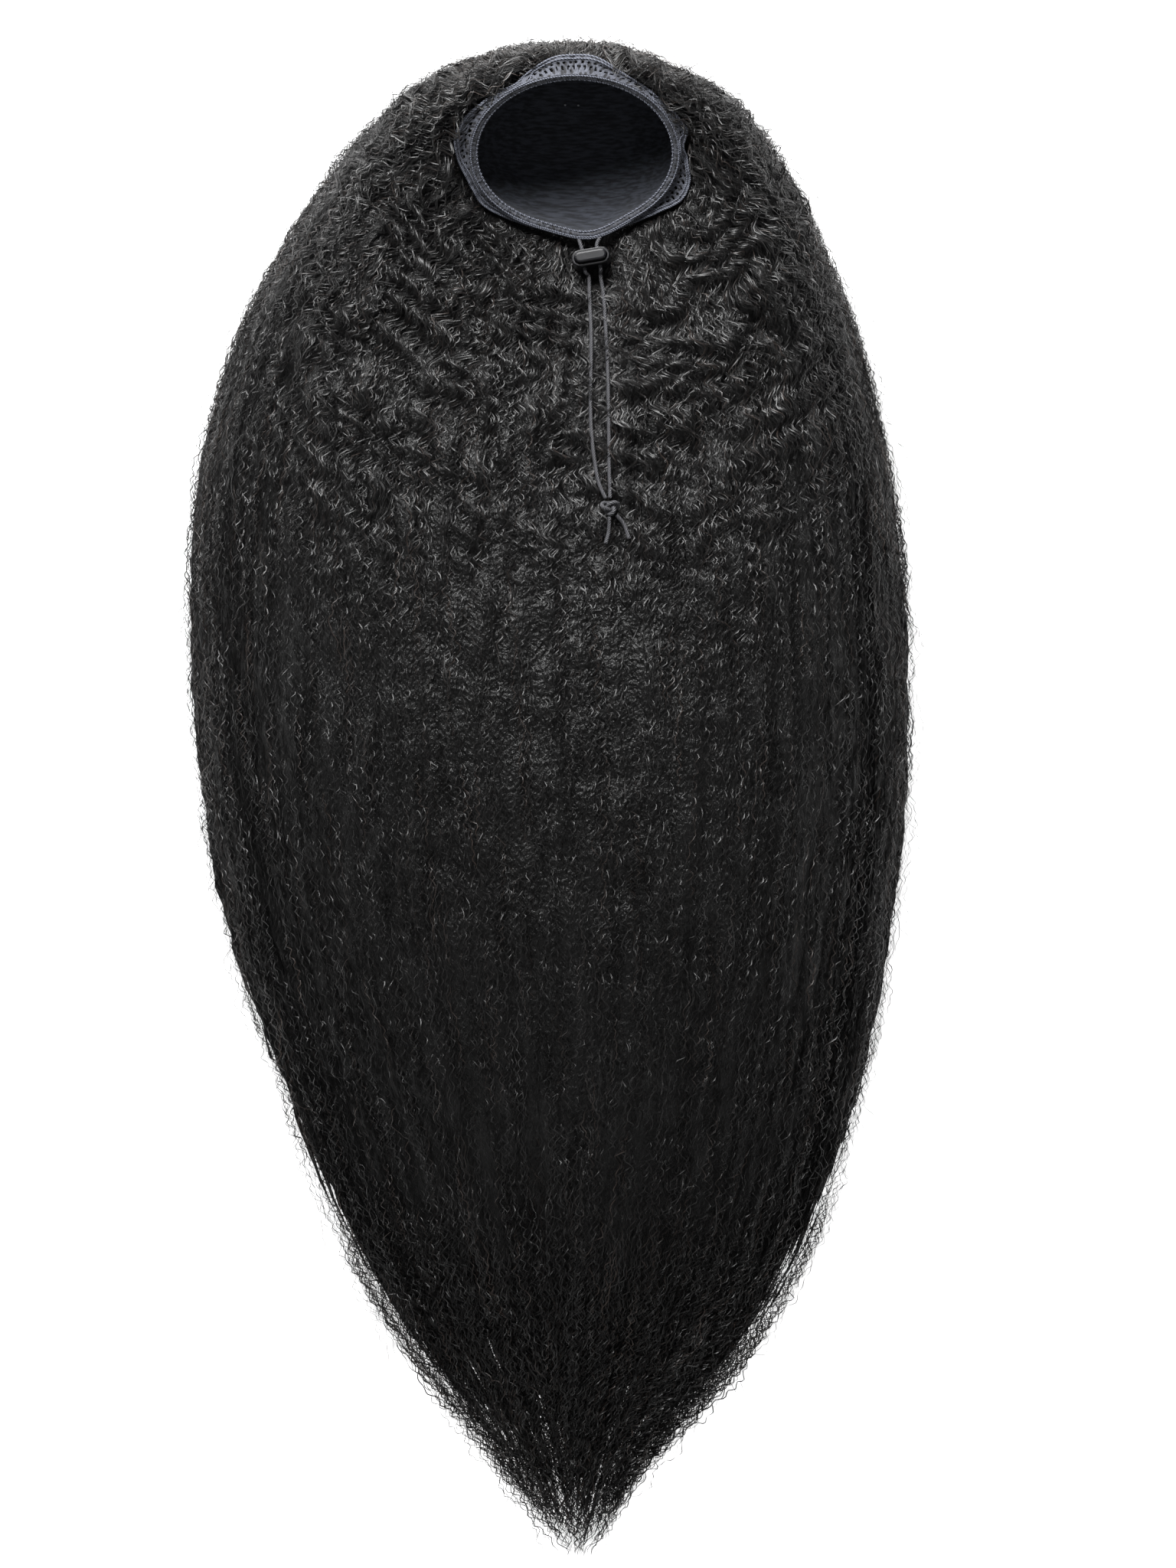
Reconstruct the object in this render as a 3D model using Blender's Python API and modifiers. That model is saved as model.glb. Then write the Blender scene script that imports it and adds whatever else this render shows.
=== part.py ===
"""A drawstring ponytail hairpiece, lying on a table with the opening of its cap facing up.

Long kinky hair is sewn in rows round the outside of a small stretch-net cap. The cap's rim is a casing of
folded lace that holds an elastic drawstring. The two ends of the drawstring leave the casing side by side,
run through a sprung cord lock and are tied in one knot.

Lengths are in metres and angles in radians unless a name says otherwise. +Z is up, +Y points from the hair's
tips to its crown, and the origin is on the table under the middle of the hair.
"""

import bisect
import cmath
import math

import bmesh
import bpy
from mathutils import Matrix, Vector
from mathutils.bvhtree import BVHTree

# Hair, as it lies
HAIR_LENGTH = 0.632
HAIR_WIDTH = 0.305
LOCK_COUNT = 24
LOCK_RELIEF = 0.0028
LOCK_RELIEF_STARTS = 0.012
LOCK_RELIEF_RAMP = 0.030
TIP_STEP = 0.016
TIP_THICKNESS = 0.003
HAIR_PUFF = 0.014

# Opening of the cap: the clear ellipse inside its rim, and where it sits
OPENING_WIDTH = 0.080
OPENING_HEIGHT = 0.062
OPENING_TILT = math.radians(28)
OPENING_SETBACK = 0.0475
RIM_HEIGHT = 0.060
MOUTH_PULL = 0.10
MOUTH_PULL_DEPTH = 0.55

# Net cap and the rows of sewn hair on it
CAP_DEPTH = 0.044
CAP_WALL = 0.0014
WEFT_ROWS = 4
WEFT_WIDTH = 0.0030
WEFT_THICKNESS = 0.0010

# Casing, lace and edging
CASING_DIAMETER = 0.0036
CASING_WALL = 0.0007
LACE_WIDTH = 0.0095
LACE_THICKNESS = 0.0010
LACE_STEPS = 60
LACE_HOLE_FRAME = 0.00045
LACE_HOLE_LEAST = 0.0036
EDGING_DIAMETER = 0.0014

# Elastic drawstring
CORD_DIAMETER = 0.0016
CORD_EXIT_OFFSET = 0.0058
CORD_EXIT_SPACING = 0.0100
CORD_EXIT_HOLE = 0.0024

# Knot in the drawstring's ends
KNOT_WIDTH = 0.0090
KNOT_LENGTH = 0.0070
KNOT_HEIGHT = 0.0050
KNOT_SIDE = 0.0073
KNOT_DISTANCE = 0.1020

# Cord lock: width across both cords, thickness along them, height of its shell
LOCK_WIDTH = 0.0160
LOCK_THICKNESS = 0.0070
LOCK_SHELL_HEIGHT = 0.0084
LOCK_SHELL_WALL = 0.0010
LOCK_FLOOR = 0.0009
LOCK_BUTTON_RISE = 0.0021
LOCK_BUTTON_BAR = 0.0008
LOCK_TRAVEL = 0.0015
LOCK_HOLE = 0.0022
LOCK_CORD_SPACING = 0.0064
LOCK_TURN = math.radians(9)
LOCK_SIDE = 0.0010
LOCK_DISTANCE = 0.0112
LOCK_DENT = 0.0050
LOCK_DENT_RADIUS = 0.0100

# Gaps between pieces that touch on the real thing
SEAT_GAP = 0.00035
RUNNING_GAP = 0.00030

# Mesh fineness
RING_STEPS = 2 * LOCK_COUNT
CROWN_CROWDING = 1.25
FLOW_ROWS = 20
CROWN_ROWS = 6
CASING_STEPS = 36

# Outline of the laid hair. "down" is the share of HAIR_LENGTH below the crown, "left" and "right" are shares
# of HAIR_WIDTH out from the line through the middle of the opening, and "fill" is how full the pile still is.
OUTLINE_COLUMNS = ("down", "left", "right", "fill")
OUTLINE = (
    (0.000, 0.062, 0.052, 1.00),
    (0.012, 0.165, 0.128, 1.00),
    (0.035, 0.243, 0.212, 1.00),
    (0.070, 0.318, 0.275, 1.00),
    (0.120, 0.395, 0.335, 1.00),
    (0.190, 0.475, 0.395, 1.00),
    (0.280, 0.525, 0.440, 1.00),
    (0.380, 0.536, 0.461, 1.00),
    (0.480, 0.522, 0.462, 0.99),
    (0.580, 0.483, 0.438, 0.94),
    (0.680, 0.414, 0.403, 0.84),
    (0.780, 0.333, 0.341, 0.67),
    (0.860, 0.234, 0.246, 0.47),
    (0.930, 0.118, 0.110, 0.26),
    (1.000, 0.014, 0.014, 0.12),
)

# Half section of the net cap, from its rim to its pole: "depth" is a share of CAP_DEPTH and "radius" a share
# of the rim's own.
CAP_COLUMNS = ("depth", "radius")
CAP_SECTION = (
    (0.00, 1.000),
    (0.14, 1.045),
    (0.34, 1.060),
    (0.55, 0.990),
    (0.74, 0.840),
    (0.89, 0.600),
    (0.97, 0.320),
)

# Scallops of the lace: "turn" is an angle in degrees round the rim from the side that faces the tips, positive
# towards +X, and "width" is a share of LACE_WIDTH.
SCALLOP_COLUMNS = ("turn", "width")
LACE_SCALLOPS = (
    (-180, 0.52),
    (-166, 0.48),
    (-152, 0.16),
    (-141, 0.18),
    (-131, 0.56),
    (-121, 0.95),
    (-109, 0.86),
    (-94, 0.54),
    (-78, 0.30),
    (-68, 0.27),
    (-54, 0.34),
    (-36, 0.18),
    (-16, 0.09),
    (8, 0.05),
    (24, 0.10),
    (36, 0.22),
    (50, 0.44),
    (64, 0.74),
    (77, 0.62),
    (90, 0.22),
    (98, 0.16),
    (107, 0.44),
    (116, 0.72),
    (124, 0.52),
    (131, 0.20),
    (139, 0.42),
    (147, 0.56),
    (156, 0.58),
    (168, 0.54),
    (180, 0.52),
)

# Routes of the drawstring's free stretches: "x" and "y" are measured from the middle of the cord lock and "lift"
# is the height of the cord's middle over the hair under it.
ROUTE_COLUMNS = ("x", "y", "lift")
LEFT_ROUTE = (
    (-0.0018, -0.0078, 0.0040),
    (-0.0011, -0.0158, 0.0029),
    (-0.0005, -0.0268, 0.0026),
    (-0.0004, -0.0398, 0.0026),
    (-0.0007, -0.0528, 0.0026),
    (-0.0006, -0.0643, 0.0026),
    (0.0001, -0.0753, 0.0026),
    (0.0014, -0.0853, 0.0026),
    (0.0030, -0.0928, 0.0029),
)
RIGHT_ROUTE = (
    (0.0045, -0.0068, 0.0040),
    (0.0050, -0.0148, 0.0029),
    (0.0056, -0.0258, 0.0026),
    (0.0062, -0.0378, 0.0026),
    (0.0066, -0.0508, 0.0026),
    (0.0068, -0.0638, 0.0026),
    (0.0069, -0.0768, 0.0026),
    (0.0070, -0.0878, 0.0026),
    (0.0073, -0.0933, 0.0030),
)
LEFT_TAIL = (
    (0.0067, -0.1118, 0.0027),
    (0.0055, -0.1168, 0.0026),
)
RIGHT_TAIL = (
    (0.0130, -0.1088, 0.0027),
    (0.0151, -0.1148, 0.0026),
)

# Colours, as linear RGB
HAIR_BLACK = (0.012, 0.011, 0.011)
NET_BLACK = (0.016, 0.017, 0.019)
LACE_GREY = (0.050, 0.055, 0.066)
ELASTIC_GREY = (0.090, 0.090, 0.092)
LOCK_BLACK = (0.010, 0.010, 0.013)

# Sizes that follow from those above
CROWN_Y = HAIR_LENGTH / 2
RIM_RADIUS = OPENING_WIDTH / 2 + CASING_DIAMETER / 2
RIM_SQUASH = (OPENING_HEIGHT + CASING_DIAMETER) / (OPENING_WIDTH + CASING_DIAMETER)
CAP_TOP_DEPTH = CASING_DIAMETER / 2 + SEAT_GAP
HAIR_CLEAR_OF_CAP = CAP_WALL / 2 + SEAT_GAP + WEFT_THICKNESS + SEAT_GAP
HAIR_EDGE_DEPTH = CAP_TOP_DEPTH + CAP_WALL / 4
FLOW_WIDTH = 0.42 * HAIR_WIDTH
BANK_SHARE = 0.045
TIP_TAPER = 0.11
LOCK_CORD_HEIGHT = LOCK_FLOOR + RUNNING_GAP + LOCK_TRAVEL + LOCK_BUTTON_BAR + LOCK_HOLE / 2
KNOT_LIFT = KNOT_HEIGHT / 2 + LOCK_RELIEF / 2 + SEAT_GAP

# Tables and curves


def rows_of(table, columns):
    """The table as a list of dicts, one for each row, keyed by column name."""
    return [dict(zip(columns, row)) for row in table]


def smooth_curve(rows, key, column):
    """A function that gives the column's value at any value of the key, smoothly through the rows."""
    knots = [row[key] for row in rows]
    values = [row[column] for row in rows]
    slopes = []
    for k in range(len(knots)):
        low, high = max(k - 1, 0), min(k + 1, len(knots) - 1)
        slopes.append((values[high] - values[low]) / (knots[high] - knots[low]))

    def value(at):
        at = min(max(at, knots[0]), knots[-1])
        i = min(max(bisect.bisect_right(knots, at) - 1, 0), len(knots) - 2)
        span = knots[i + 1] - knots[i]
        t = (at - knots[i]) / span
        rise = values[i + 1] - values[i]
        leave, arrive = slopes[i] * span, slopes[i + 1] * span
        return values[i] + t * (leave + t * (3 * rise - 2 * leave - arrive + t * (leave + arrive - 2 * rise)))

    return value


def smooth_step(t):
    t = min(max(t, 0.0), 1.0)
    return t * t * (3 - 2 * t)


def lengths_along(points):
    """The distance travelled at each point of a polyline."""
    travelled = [0.0]
    for before, after in zip(points, points[1:]):
        travelled.append(travelled[-1] + (after - before).length)
    return travelled


def point_at(points, travelled, distance):
    """The point of a polyline at a distance along it."""
    i = 0
    while i < len(points) - 2 and travelled[i + 1] < distance:
        i += 1
    span = max(travelled[i + 1] - travelled[i], 1e-9)
    return points[i].lerp(points[i + 1], min(max((distance - travelled[i]) / span, 0.0), 1.0))


def smooth_route(points, spacing):
    """Evenly spaced points on a smooth curve through the given ones."""
    knots = lengths_along(points)
    rows = [dict(s=s, x=p.x, y=p.y, z=p.z) for s, p in zip(knots, points)]
    curves = [smooth_curve(rows, "s", axis) for axis in "xyz"]
    fine = []
    steps = 12 * len(points)
    for k in range(steps + 1):
        s = knots[-1] * k / steps
        fine.append(Vector([curve(s) for curve in curves]))
    travelled = lengths_along(fine)
    count = max(2, round(travelled[-1] / spacing))
    return [point_at(fine, travelled, travelled[-1] * k / count) for k in range(count + 1)]


# Shape of the laid hair

OUTLINE_ROWS = rows_of(OUTLINE, OUTLINE_COLUMNS)
CAP_ROWS = rows_of(CAP_SECTION, CAP_COLUMNS)
SIDES = {side: smooth_curve(OUTLINE_ROWS, "down", side) for side in ("left", "right")}
FILL = smooth_curve(OUTLINE_ROWS, "down", "fill")
SCALLOP = smooth_curve(rows_of(LACE_SCALLOPS, SCALLOP_COLUMNS), "turn", "width")


def widest(side):
    return HAIR_WIDTH * max(SIDES[side](k / 200) for k in range(201))


OPENING_OFFSET = (widest("left") - widest("right")) / 2
OPENING_CENTRE = Vector((OPENING_OFFSET, CROWN_Y - OPENING_SETBACK, RIM_HEIGHT))


def share_down(y):
    return (CROWN_Y - y) / HAIR_LENGTH


def half_width(side, down):
    """How far the hair reaches out from the opening's middle line on one side."""
    return HAIR_WIDTH * SIDES[side](down)


def outline_distance(bearing):
    """How far the outline is from the opening's centre. Bearing 0 looks at the tips, and grows towards +X."""
    ahead, aside = -math.cos(bearing), math.sin(bearing)
    side = "right" if aside >= 0 else "left"
    near, far = 0.0, HAIR_LENGTH
    for _ in range(30):
        middle = (near + far) / 2
        down = share_down(OPENING_CENTRE.y + middle * ahead)
        inside = 0 <= down <= 1 and abs(aside) * middle <= half_width(side, down)
        near, far = (middle, far) if inside else (near, middle)
    return near


def lock_place():
    """The middle of the cord lock, seen from above."""
    exit_point = on_cap(exit_turn(), RIM_RADIUS, 0)
    return exit_point.x + LOCK_SIDE, exit_point.y - LOCK_DISTANCE


def ring_turn(i):
    """The turn of column i round the rim. Columns stand closer together towards the crown."""
    share = 2 * i / RING_STEPS - 1
    return math.copysign(math.pi * (1 - (1 - abs(share)) ** CROWN_CROWDING), share)


def exit_turn():
    """The turn round the rim at which the drawstring leaves the casing."""
    return math.asin(CORD_EXIT_OFFSET / RIM_RADIUS)


def mouth_pull(turn):
    """How far the drawstring draws the mouth out of its ellipse, to a point at the cord lock."""
    off = math.remainder(turn - exit_turn(), 2 * math.pi)
    return MOUTH_PULL * (math.exp(-((off / 0.30) ** 2)) - 0.35 * math.exp(-((off / 0.80) ** 2)))


def on_cap(turn, radius, depth):
    """A point in the cap's own ellipses: turn round the rim from the tips' side, radius across X, depth down
    the cap's axis from the rim's middle plane."""
    lean, rise = math.cos(OPENING_TILT), math.sin(OPENING_TILT)
    radius *= 1 + mouth_pull(turn) * min(max(1 - depth / (MOUTH_PULL_DEPTH * CAP_DEPTH), 0.0), 1.0)
    up = -radius * RIM_SQUASH * math.cos(turn)
    return OPENING_CENTRE + Vector((radius * math.sin(turn), up * lean + depth * rise, up * rise - depth * lean))


def hair_edge(turn):
    """Where the hair begins, just outside the cap's rim."""
    return on_cap(turn, RIM_RADIUS + HAIR_CLEAR_OF_CAP, HAIR_EDGE_DEPTH)


def edge_towards(bearing):
    """The point of the hair's inner edge on a bearing from the opening's centre."""
    start = hair_edge(0) - OPENING_CENTRE
    middle_y = (hair_edge(0).y + hair_edge(math.pi).y) / 2 - OPENING_CENTRE.y
    reach_x = RIM_RADIUS + HAIR_CLEAR_OF_CAP
    reach_y = middle_y - start.y
    turn = math.atan2(math.sin(bearing) / reach_x, math.cos(bearing) / reach_y)
    for _ in range(8):
        p = hair_edge(turn) - OPENING_CENTRE
        off = math.atan2(p.x, -p.y) - bearing
        turn -= math.remainder(off, 2 * math.pi)
    return hair_edge(turn)


def by_bearing(steps=720):
    """For each bearing: how far the hair's inner edge is, how high it is, and how far the outline is."""
    rows = []
    for k in range(steps + 1):
        bearing = -math.pi + 2 * math.pi * k / steps
        edge = edge_towards(bearing)
        inner = math.hypot(edge.x - OPENING_CENTRE.x, edge.y - OPENING_CENTRE.y)
        rows.append((inner, edge.z, outline_distance(bearing)))
    return rows


BEARINGS = by_bearing()
LOCK_PLACE = lock_place()


def at_bearing(bearing):
    along = (bearing + math.pi) / (2 * math.pi) * (len(BEARINGS) - 1)
    k = min(int(along), len(BEARINGS) - 2)
    part = along - k
    return [low + (high - low) * part for low, high in zip(BEARINGS[k], BEARINGS[k + 1])]


def mound(x, y):
    """A point on the plain surface of the laid hair, without its locks."""
    aside, ahead = x - OPENING_CENTRE.x, OPENING_CENTRE.y - y
    bearing = math.atan2(aside, ahead)
    inner, edge_height, outer = at_bearing(bearing)
    out = min(max((math.hypot(aside, ahead) - inner) / (outer - inner), 0.0), 1.0)
    towards_crown = (bearing / math.pi) ** 2
    shoulder = (1 - out ** (2.2 + 2.2 * towards_crown)) ** 0.5
    puff = HAIR_PUFF * 4 * out * (1 - out) * (1 + math.cos(bearing)) / 2
    fill = FILL(share_down(y))
    lock_x, lock_y = LOCK_PLACE
    from_lock = math.hypot(x - lock_x, y - lock_y) / LOCK_DENT_RADIUS
    dent = LOCK_DENT * math.exp(-(from_lock**2))
    return Vector((x, y, max((edge_height * shoulder + puff) * fill - dent, 0.0)))


def mound_normal(x, y):
    """The outward direction of the plain surface."""
    step = 0.001
    across = mound(x + step, y) - mound(x - step, y)
    along = mound(x, y + step) - mound(x, y - step)
    return across.cross(along).normalized()


# The hair flows out of the opening as a stream flows from a spring in a channel with one closed end: the crown
# closes the channel and the outline is its banks. This is that stream in closed form.


def into_channel(x, y):
    """A place on the table in the channel's own coordinates, whose banks are at -1 and 1."""
    side = "right" if x >= OPENING_CENTRE.x else "left"
    width = half_width(side, share_down(y))
    return complex((CROWN_Y - y) / FLOW_WIDTH, (x - OPENING_CENTRE.x) / width)


def out_of_channel(place):
    y = CROWN_Y - place.real * FLOW_WIDTH
    side = "right" if place.imag >= 0 else "left"
    return OPENING_CENTRE.x + place.imag * half_width(side, share_down(y)), y


SPRING = cmath.sinh(math.pi / 2 * OPENING_SETBACK / FLOW_WIDTH) ** 2


def flow_line(turn, end_down):
    """Places (x, y) down one line of hair, from the rim to its tip at the share end_down of the length."""
    edge = hair_edge(turn)
    at_edge = cmath.sinh(math.pi / 2 * into_channel(edge.x, edge.y)) ** 2 - SPRING
    heading = cmath.phase(at_edge)
    if abs(abs(turn) - math.pi) < 1e-6:
        heading = math.copysign(math.pi, turn)
    begin = math.log(abs(at_edge))
    end = math.pi * HAIR_LENGTH / FLOW_WIDTH + 1
    fine = 300
    places = [(edge.x, edge.y)]
    for k in range(1, fine + 1):
        strength = math.exp(begin + (end - begin) * k / fine)
        grown = SPRING + strength * cmath.exp(1j * heading)
        place = 2 / math.pi * cmath.asinh(cmath.sqrt(grown))
        if heading < 0 < place.imag:
            place = place.conjugate()
        inside = 1 - BANK_SHARE * smooth_step(5 * k / fine)
        x, y = out_of_channel(complex(place.real, place.imag * inside))
        if share_down(y) > end_down:
            before_x, before_y = places[-1]
            end_y = CROWN_Y - end_down * HAIR_LENGTH
            share = (before_y - end_y) / (before_y - y)
            places.append((before_x + (x - before_x) * share, end_y))
            break
        places.append((x, y))
    return places


# Meshes and objects


def clear_scene():
    for obj in list(bpy.data.objects):
        bpy.data.objects.remove(obj)


def material(name, colour, roughness):
    made = bpy.data.materials.new(name)
    made.use_nodes = True
    shader = made.node_tree.nodes["Principled BSDF"]
    shader.inputs["Base Color"].default_value = (*colour, 1)
    shader.inputs["Roughness"].default_value = roughness
    made.diffuse_color = (*colour, 1)
    return made


def add_object(name, data, collection, finish=None):
    obj = bpy.data.objects.new(name, data)
    collection.objects.link(obj)
    if finish:
        data.materials.append(finish)
    return obj


def mesh_of(bm, name):
    data = bpy.data.meshes.new(name)
    bm.to_mesh(data)
    bm.free()
    return data


def sheet(columns, rows, place):
    """A grid of columns by rows faces whose corner (i, j) stands at place(i, j)."""
    bm = bmesh.new()
    bmesh.ops.create_grid(bm, x_segments=columns, y_segments=rows, size=1)
    for vert in bm.verts:
        i = round((vert.co.x + 1) / 2 * columns)
        j = round((vert.co.y + 1) / 2 * rows)
        vert.co = place(i, j)
    return bm


def close_up(bm):
    """Welds the seam, fills what is still open and turns the faces out."""
    bmesh.ops.remove_doubles(bm, verts=bm.verts, dist=1e-6)
    bmesh.ops.dissolve_degenerate(bm, edges=bm.edges, dist=1e-6)
    bmesh.ops.holes_fill(bm, edges=bm.edges, sides=0)
    bmesh.ops.recalc_face_normals(bm, faces=bm.faces)


def solidify(obj, thickness, offset=0.0):
    wall = obj.modifiers.new("wall", "SOLIDIFY")
    wall.thickness = thickness
    wall.offset = offset
    return wall


def cord_object(name, points, diameter, collection, finish, sides=8, cyclic=False, caps=True):
    """A round cord as a curve through points."""
    data = bpy.data.curves.new(name, "CURVE")
    data.dimensions = "3D"
    data.bevel_depth = diameter / 2
    data.bevel_resolution = (sides - 4) // 2
    data.use_fill_caps = caps
    data.twist_mode = "MINIMUM"
    spline = data.splines.new("POLY")
    spline.points.add(len(points) - 1)
    for target, point in zip(spline.points, points):
        target.co = (*point, 1)
    spline.use_cyclic_u = cyclic
    return add_object(name, data, collection, finish)


def as_mesh(obj, collection):
    """Replaces a curve object with a mesh of the same shape, its caps welded."""
    bpy.context.view_layer.update()
    evaluated = obj.evaluated_get(bpy.context.evaluated_depsgraph_get())
    data = bpy.data.meshes.new_from_object(evaluated)
    bm = bmesh.new()
    bm.from_mesh(data)
    bmesh.ops.remove_doubles(bm, verts=bm.verts, dist=1e-6)
    bm.to_mesh(data)
    bm.free()
    name, place = obj.name, obj.matrix_world.copy()
    bpy.data.objects.remove(obj)
    made = bpy.data.objects.new(name, data)
    made.matrix_world = place
    collection.objects.link(made)
    return made


def soft_shading(obj, angle=35):
    obj.data.shade_smooth()
    obj.data.set_sharp_from_angle(angle=math.radians(angle))


# Cap


def cap_section(offset):
    """(radius, depth) down the net cap, offset outwards from the middle of its wall."""
    points = []
    for row in CAP_ROWS:
        points.append(Vector((row["radius"] * RIM_RADIUS, CAP_TOP_DEPTH + row["depth"] * CAP_DEPTH)))
    section = []
    for i, point in enumerate(points):
        ahead = points[min(i + 1, len(points) - 1)] - points[max(i - 1, 0)]
        outward = Vector((ahead.y, -ahead.x)).normalized()
        section.append(point + outward * offset)
    section[0].y = CAP_TOP_DEPTH
    return section


def cap_pole_depth(offset):
    return CAP_TOP_DEPTH + CAP_DEPTH + offset


def make_cap(collection, finish):
    section = cap_section(0)
    pole = cap_pole_depth(0)

    def place(i, j):
        if j == len(section):
            return on_cap(0, 0, pole)
        return on_cap(ring_turn(i), section[j].x, section[j].y)

    bm = sheet(RING_STEPS, len(section), place)
    bmesh.ops.remove_doubles(bm, verts=bm.verts, dist=1e-6)
    bmesh.ops.recalc_face_normals(bm, faces=bm.faces)
    cap = add_object("cap_net", mesh_of(bm, "cap_net"), collection, finish)
    solidify(cap, CAP_WALL)
    soft_shading(cap)


def make_weft_rows(collection, finish):
    """Bands of machine-sewn hair roots round the net cap, evenly spaced down its outside."""
    inner = cap_section(CAP_WALL / 2 + SEAT_GAP)
    outer = cap_section(CAP_WALL / 2 + SEAT_GAP + WEFT_THICKNESS)
    inner_line = [Vector((p.x, p.y, 0)) for p in inner]
    outer_line = [Vector((p.x, p.y, 0)) for p in outer]
    inner_run, outer_run = lengths_along(inner_line), lengths_along(outer_line)
    for number in range(1, WEFT_ROWS + 1):
        share = number / (WEFT_ROWS + 0.4)
        corners = []
        for line, run, side in (
            (inner_line, inner_run, -1),
            (inner_line, inner_run, 1),
            (outer_line, outer_run, 1),
            (outer_line, outer_run, -1),
        ):
            corners.append(point_at(line, run, run[-1] * share + side * WEFT_WIDTH / 2))

        def place(i, j):
            corner = corners[j % 4]
            return on_cap(ring_turn(i), corner.x, corner.y)

        bm = sheet(RING_STEPS, 4, place)
        close_up(bm)
        name = f"weft_row_{number}"
        soft_shading(add_object(name, mesh_of(bm, name), collection, finish))


# Rim: casing, drawstring ring, lace and its edging


def exit_frame(seat, side):
    """Axes at one of the casing's two holes: origin on the rim's middle line, Z towards the lock's own hole."""
    turn = exit_turn() + side * math.asin(CORD_EXIT_SPACING / 2 / RIM_RADIUS)
    centre = on_cap(turn, RIM_RADIUS, 0)
    along = on_cap(turn + 0.01, RIM_RADIUS, 0) - on_cap(turn - 0.01, RIM_RADIUS, 0)
    out = (in_lock(seat, side, 0.75) - centre).normalized()
    along = (along - out * out.dot(along)).normalized()
    turned = Matrix((along, out.cross(along), out)).transposed().to_4x4()
    return Matrix.Translation(centre) @ turned


def casing_line():
    """Corners of the casing's middle line, beginning between its two holes."""
    start = exit_turn()
    return [on_cap(start + 2 * math.pi * k / CASING_STEPS, RIM_RADIUS, 0) for k in range(CASING_STEPS + 1)]


def make_casing(collection, cutters, seat, finish):
    """A closed tube of folded lace, with a hole in its outer side for each end of the drawstring."""
    points = casing_line()[:-1]
    tube = cord_object(
        "drawstring_casing", points, CASING_DIAMETER, collection, finish, sides=6, cyclic=True, caps=False
    )
    tube = as_mesh(tube, collection)
    solidify(tube, CASING_WALL, offset=-1.0)
    for side, word in ((-1, "left"), (1, "right")):
        cutter_bm = bmesh.new()
        place = exit_frame(seat, side) @ Matrix.Translation((0, 0, CASING_DIAMETER / 2))
        bmesh.ops.create_cone(
            cutter_bm,
            cap_ends=True,
            segments=10,
            radius1=CORD_EXIT_HOLE / 2,
            radius2=CORD_EXIT_HOLE / 2,
            depth=CASING_DIAMETER,
            matrix=place,
        )
        cut(tube, cutter_bm, f"casing_hole_{word}", cutters)
    soft_shading(tube, 65)


def make_drawstring_ring(collection, finish):
    """The elastic inside the casing, from one hole round to the other."""
    corners = casing_line()
    travelled = lengths_along(corners)
    first, last = CORD_EXIT_SPACING / 2, travelled[-1] - CORD_EXIT_SPACING / 2
    points = [point_at(corners, travelled, first)]
    points += [corner for corner, distance in zip(corners, travelled) if first < distance < last]
    points.append(point_at(corners, travelled, last))
    cord_object("drawstring_ring", points, CORD_DIAMETER, collection, finish, sides=6)


def lace_width(turn):
    return LACE_WIDTH * SCALLOP(math.degrees(math.remainder(turn, 2 * math.pi)))


def near_exit(turn):
    """1 where the drawstring comes out under the lace, falling to 0 at both sides."""
    off = abs(math.remainder(turn - exit_turn(), 2 * math.pi)) * RIM_RADIUS
    return 1 - smooth_step((off - CORD_EXIT_SPACING) / CORD_EXIT_SPACING)


class HairSeat:
    """Finds the hair's own facets, so that what lies on the hair clears them."""

    def __init__(self, hair):
        bm = bmesh.new()
        bm.from_mesh(hair.data)
        bmesh.ops.triangulate(bm, faces=bm.faces)
        self.tree = BVHTree.FromBMesh(bm)
        bm.free()

    def at(self, x, y):
        hit = self.tree.ray_cast(Vector((x, y, 1.0)), Vector((0, 0, -1)))[0]
        return hit if hit and hit.z > 0.001 else mound(x, y)

    def over(self, x, y, lift):
        return self.at(x, y) + mound_normal(x, y) * lift

    def rise_round(self, place, reach):
        """How far the hair stands over a place's own tangent plane within a reach of it."""
        normal = mound_normal(place.x, place.y)
        rise = 0.0
        for k in range(8):
            angle = math.pi * k / 4
            beside = self.at(place.x + reach * math.cos(angle), place.y + reach * math.sin(angle))
            rise = max(rise, (beside - place).dot(normal))
        return rise

    def clear(self, point, radius):
        """The point, lifted where a cord of that radius through it would touch the hair."""
        place = self.at(point.x, point.y)
        normal = mound_normal(place.x, place.y)
        least = SEAT_GAP + self.rise_round(place, 3 * radius) + radius
        return point + normal * max(least - (point - place).dot(normal), 0.0)

    def beside_rim(self, turn, out):
        """A place on the hair a distance out from the lace's seam."""
        start, edge = lace_seam(turn), hair_edge(turn)
        away = Vector((edge.x - OPENING_CENTRE.x, edge.y - OPENING_CENTRE.y)).normalized()
        gone = max((start.xy - edge.xy).dot(away), SEAT_GAP)
        run, step = 0.0, LACE_WIDTH / 30
        here = self.at(edge.x + away.x * gone, edge.y + away.y * gone)
        while run < out:
            gone += step
            ahead = self.at(edge.x + away.x * gone, edge.y + away.y * gone)
            length = (ahead - here).length
            here = here.lerp(ahead, min((out - run) / length, 1.0))
            run += length
        return here


def lace_seam(turn):
    """Where the middle of the lace begins, just outside the casing, and further out where it rises over the
    cords."""
    gap = SEAT_GAP * (1 + 2.5 * min(4 * near_exit(turn), 1.0))
    return on_cap(turn, RIM_RADIUS + CASING_DIAMETER / 2 + gap + LACE_THICKNESS / 2, 0)


def cord_top(seat, y):
    """The top of the higher of the two cords between the casing and the lock."""
    tops = []
    for side in (-1, 1):
        points = leg_start(seat, side)
        share = (points[0].y - y) / (points[0].y - points[-1].y)
        tops.append(points[0].lerp(points[-1], min(max(share, 0.0), 1.0)).z)
    return max(tops) + CORD_DIAMETER / 2


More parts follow.
